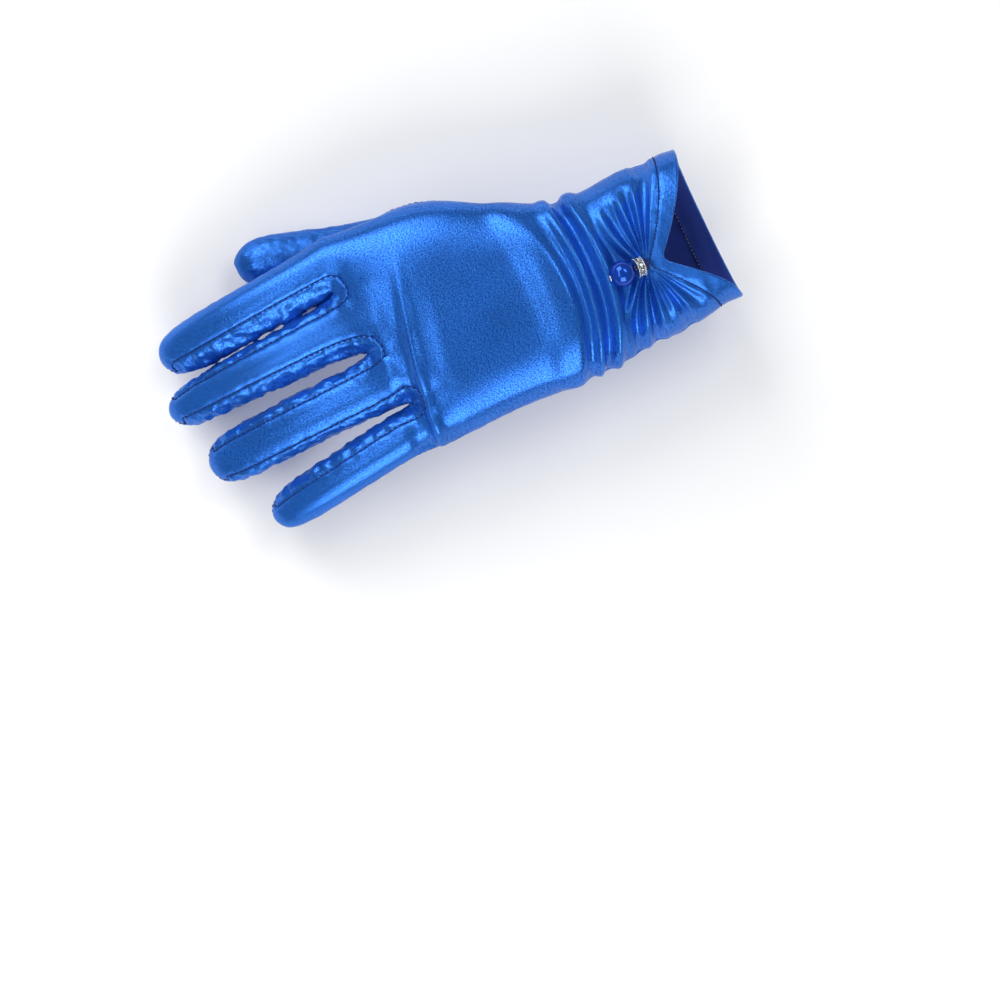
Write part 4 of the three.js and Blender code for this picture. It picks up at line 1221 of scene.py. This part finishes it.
class GLOVE_OT_rondelle(bpy.types.Operator):
    """Build the rondelle, its stones and the pin"""

    bl_idname = "glove.rondelle"
    bl_label = "Rondelle"

    def execute(self, context):
        sizes = context.scene.glove_ornament
        silver = silver_material(context.scene.glove_colours)
        crystal = crystal_material()
        matrix, _ = ornament_matrix()
        radius, half, flange = sizes.rondelle / 2, sizes.rondelle_width / 2, sizes.flange
        hub = radius - sizes.stone_depth - 0.1 * MM
        bore = sizes.bead_bore / 2
        round_off = 0.3 * flange
        profile = [(bore, -half + round_off), (bore + round_off, -half)]
        profile += [(radius - 0.9 * flange, -half - 0.05 * MM), (radius - round_off, -half + 0.3 * round_off)]
        profile += [(radius, -half + flange / 2), (radius - round_off, -half + flange), (hub, -half + flange)]
        profile += [(r, -h) for r, h in profile[::-1]]
        parts = [lathe(profile, 64, close=True)]
        first = matrix.inverted() @ box_middle(RHINESTONES[0])
        start = math.atan2(first.y, first.x)
        grain = ball(0.5 * sizes.prong, 8, 6)

        def grains(count, out, height):
            for i in range(count):
                angle = start + 2 * math.pi * (i + 0.5) / count
                place = Vector((out * math.cos(angle), out * math.sin(angle), height))
                parts.append(placed(grain, Matrix.Translation(place)))

        # Each disc has a milled edge of small beads, and two of them clasp each stone.
        for side in (-1, 1):
            grains(MILLED_BEADS, radius, side * (half - flange / 2))
        for side in (-1, 1):
            grains(len(RHINESTONES), radius - 0.25 * MM, side * 0.28 * sizes.rondelle_width)
        rondelle = joined([placed(part, matrix) for part in parts])
        add_piece("silver_rondelle", *rondelle, [silver], "silver", ["rondelle"])
        axis = matrix.to_3x3().col[2]
        cut = brilliant(sizes.stone / 2, sizes.stone_depth)
        for name in RHINESTONES:
            centre = box_middle(name)
            outward = centre - matrix.translation
            outward -= axis * outward.dot(axis)
            turn = outward.to_track_quat("Z", "Y").to_matrix().to_4x4()
            stone = placed(cut, Matrix.Translation(centre) @ turn)
            add_piece(f"cut_{name}", *stone, [crystal], "rhinestone", [name], smooth=False)
        self.add_pin(sizes, silver)
        return {"FINISHED"}

    def add_pin(self, sizes, silver):
        matrix, reach = ornament_matrix()
        start = -(sizes.rondelle_width / 2 + 0.34 * MM)
        end = reach + sizes.bead / 2
        radius, head = sizes.pin / 2, sizes.pin_head / 2
        profile = [(0.6 * radius, start), (radius, start + 0.3 * radius), (radius, end)]
        profile += [(0.85 * head, end), (head, end + 0.12 * MM), (head, end + 0.3 * MM)]
        profile += [(0.8 * head, end + 0.55 * MM), (0.4 * head, end + 0.7 * MM)]
        profile += [(0.05 * head, end + 0.74 * MM)]
        add_piece("silver_head_pin", *placed(lathe(profile, 32), matrix), [silver], "silver", ["head_pin"])


def ball(radius, sides, rings):
    profile = [
        (radius * math.sin(math.pi * (i + 0.5) / rings), -radius * math.cos(math.pi * (i + 0.5) / rings))
        for i in range(rings)
    ]
    return lathe(profile, sides)


def brilliant(radius, depth):
    """A cut stone with its table up: eight star, eight kite and sixteen girdle facets, and a pavilion."""
    vertices = []

    def ring(count, share, height, offset):
        first = len(vertices)
        for i in range(count):
            angle = 2 * math.pi * (i + offset) / count
            out = share * radius
            vertices.append((out * math.cos(angle), out * math.sin(angle), height * depth))
        return [first + i for i in range(count)]

    table = ring(8, 0.55, 0.5, 0.5)
    crown = ring(8, 0.8, 0.38, 0)
    girdle = ring(16, 1.0, 0.2, 0)
    lower = ring(16, 1.0, 0.12, 0)
    pavilion = ring(8, 0.45, -0.24, 0.5)
    culet = len(vertices)
    vertices.append((0, 0, -0.5 * depth))
    faces = [table]
    for i in range(8):
        n = (i + 1) % 8
        faces.append([table[i - 1], crown[i], table[i]])
        faces.append([crown[i], girdle[2 * i + 1], crown[n], table[i]])
        faces.append([crown[i], girdle[2 * i], girdle[2 * i + 1]])
        faces.append([crown[n], girdle[2 * i + 1], girdle[(2 * i + 2) % 16]])
        faces.append([lower[2 * i], pavilion[i], lower[2 * i + 1]])
        faces.append([lower[2 * i + 1], pavilion[i], lower[(2 * i + 2) % 16]])
        faces.append([pavilion[i - 1], pavilion[i], lower[2 * i]])
        faces.append([pavilion[i], pavilion[i - 1], culet])
    for i in range(16):
        n = (i + 1) % 16
        faces.append([girdle[i], lower[i], lower[n], girdle[n]])
    return np.array(vertices), faces


class GLOVE_OT_bead(bpy.types.Operator):
    """Build the pearl bead"""

    bl_idname = "glove.bead"
    bl_label = "Pearl bead"

    def execute(self, context):
        sizes = context.scene.glove_ornament
        radius, bore = sizes.bead / 2, sizes.bead_bore / 2
        rounding = 0.25 * MM
        start = math.asin((bore + rounding) / radius)
        steps = 48
        outside = [lerp(start, math.pi - start, i / steps) for i in range(steps + 1)]
        profile = [(radius * math.sin(angle), -radius * math.cos(angle)) for angle in outside]
        top = profile[-1][1] - 0.4 * rounding
        profile += [(bore + 0.3 * rounding, top), (bore, top - rounding)]
        profile += [(bore, -(top - rounding)), (bore + 0.3 * rounding, -top)]
        matrix, reach = ornament_matrix()
        place = matrix @ Matrix.Translation((0, 0, reach))
        bead = placed(lathe(profile, 96, close=True), place)
        lacquer = bead_material(context.scene.glove_colours)
        add_piece("lacquered_pearl_bead", *bead, [lacquer], "pearl", ["pearl_bead"])
        return {"FINISHED"}


# Lights: direction from the glove (towards the thumb, the fingers and up), distance, width, height, power
LIGHTS = {
    "finger_softbox": ((0.1, 0.47, 1.0), 0.5, 0.42, 0.13, 0.46),
    "cuff_softbox": ((0.35, -0.6, 1.0), 1.2, 0.6, 0.3, 2.6),
    "thumb_side_fill": ((1.15, 0.35, 0.9), 1.4, 0.9, 0.9, 11.5),
    "little_side_fill": ((-1.25, 0.2, 0.85), 1.4, 1.0, 1.0, 13.5),
}
LIGHTS_AIM = (-10 * MM, 95 * MM, 0)
# The point that the camera looks straight down on, and which way is up in its picture
CAMERA_OVER = (-0.0769, 0.1091)
PICTURE_UP = (0.951, -0.309, 0)
SENSOR_WIDTH = 36
FLOOR_STEPS = 4


class GLOVE_OT_stage(bpy.types.Operator):
    """Set the floor, the lights and the camera"""

    bl_idname = "glove.stage"
    bl_label = "Stage"

    def execute(self, context):
        settings = context.scene.glove_stage
        scene = context.scene
        half = settings.floor_size / 2
        places = np.linspace(-half, half, FLOOR_STEPS + 1).tolist()
        vertices = [(x, y, -settings.floor_height) for y in places for x in places]
        row = len(places)
        corners = [j * row + i for j in range(FLOOR_STEPS) for i in range(FLOOR_STEPS)]
        faces = [(k, k + 1, k + row + 1, k + row) for k in corners]
        mesh = bpy.data.meshes.new("floor")
        mesh.from_pydata(vertices, [], faces)
        mesh.materials.append(floor_material(settings.floor))
        floor = bpy.data.objects.new("floor", mesh)
        scene.collection.objects.link(floor)
        aim = Vector(LIGHTS_AIM)
        for name, (direction, distance, width, height, power) in LIGHTS.items():
            light = bpy.data.lights.new(name, "AREA")
            light.shape = "RECTANGLE"
            light.size, light.size_y = width, height
            light.energy = power
            lamp = bpy.data.objects.new(name, light)
            lamp.location = aim + Vector(direction).normalized() * distance
            lamp.rotation_euler = (lamp.location - aim).to_track_quat("Z", "Y").to_euler()
            scene.collection.objects.link(lamp)
        world = bpy.data.worlds.new("studio")
        world.use_nodes = True
        background = world.node_tree.nodes["Background"]
        background.inputs["Color"].default_value = (1, 1, 1, 1)
        background.inputs["Strength"].default_value = settings.world
        scene.world = world
        scene.view_settings.view_transform = "Standard"
        camera = bpy.data.cameras.new("camera")
        camera.sensor_width = SENSOR_WIDTH
        camera.lens = camera.sensor_width * settings.camera_height / settings.view_width
        camera.clip_end = 20
        eye = bpy.data.objects.new("camera", camera)
        up = Vector(PICTURE_UP).normalized()
        back = Vector((0, 0, 1))
        turn = Matrix((up.cross(back), up, back)).transposed().to_4x4()
        eye.matrix_world = Matrix.Translation((*CAMERA_OVER, settings.camera_height)) @ turn
        scene.collection.objects.link(eye)
        scene.camera = eye
        return {"FINISHED"}


STEPS = (
    GLOVE_OT_cloth, GLOVE_OT_stitches, GLOVE_OT_gather, GLOVE_OT_rondelle, GLOVE_OT_bead, GLOVE_OT_stage,
)


class GLOVE_PT_build(bpy.types.Panel):
    """The glove's pieces, one button each"""

    bl_idname = "GLOVE_PT_build"
    bl_label = "Satin dress glove"
    bl_space_type = "VIEW_3D"
    bl_region_type = "UI"
    bl_category = "Glove"

    def draw(self, context):
        for step in STEPS:
            self.layout.operator(step.bl_idname)


GROUPS = {
    "glove_sizes": GloveSizes,
    "glove_stitches": StitchSizes,
    "glove_ornament": OrnamentSizes,
    "glove_colours": GloveColours,
    "glove_stage": StageSettings,
}


def register():
    for name, group in GROUPS.items():
        bpy.utils.register_class(group)
        setattr(bpy.types.Scene, name, bpy.props.PointerProperty(type=group))
    for step in (*STEPS, GLOVE_PT_build):
        bpy.utils.register_class(step)


def unregister():
    for step in (GLOVE_PT_build, *reversed(STEPS)):
        bpy.utils.unregister_class(step)
    for name, group in reversed(GROUPS.items()):
        delattr(bpy.types.Scene, name)
        bpy.utils.unregister_class(group)


def main():
    register()
    for step in STEPS:
        area, name = step.bl_idname.split(".")
        getattr(getattr(bpy.ops, area), name)()


if __name__ == "__main__":
    main()
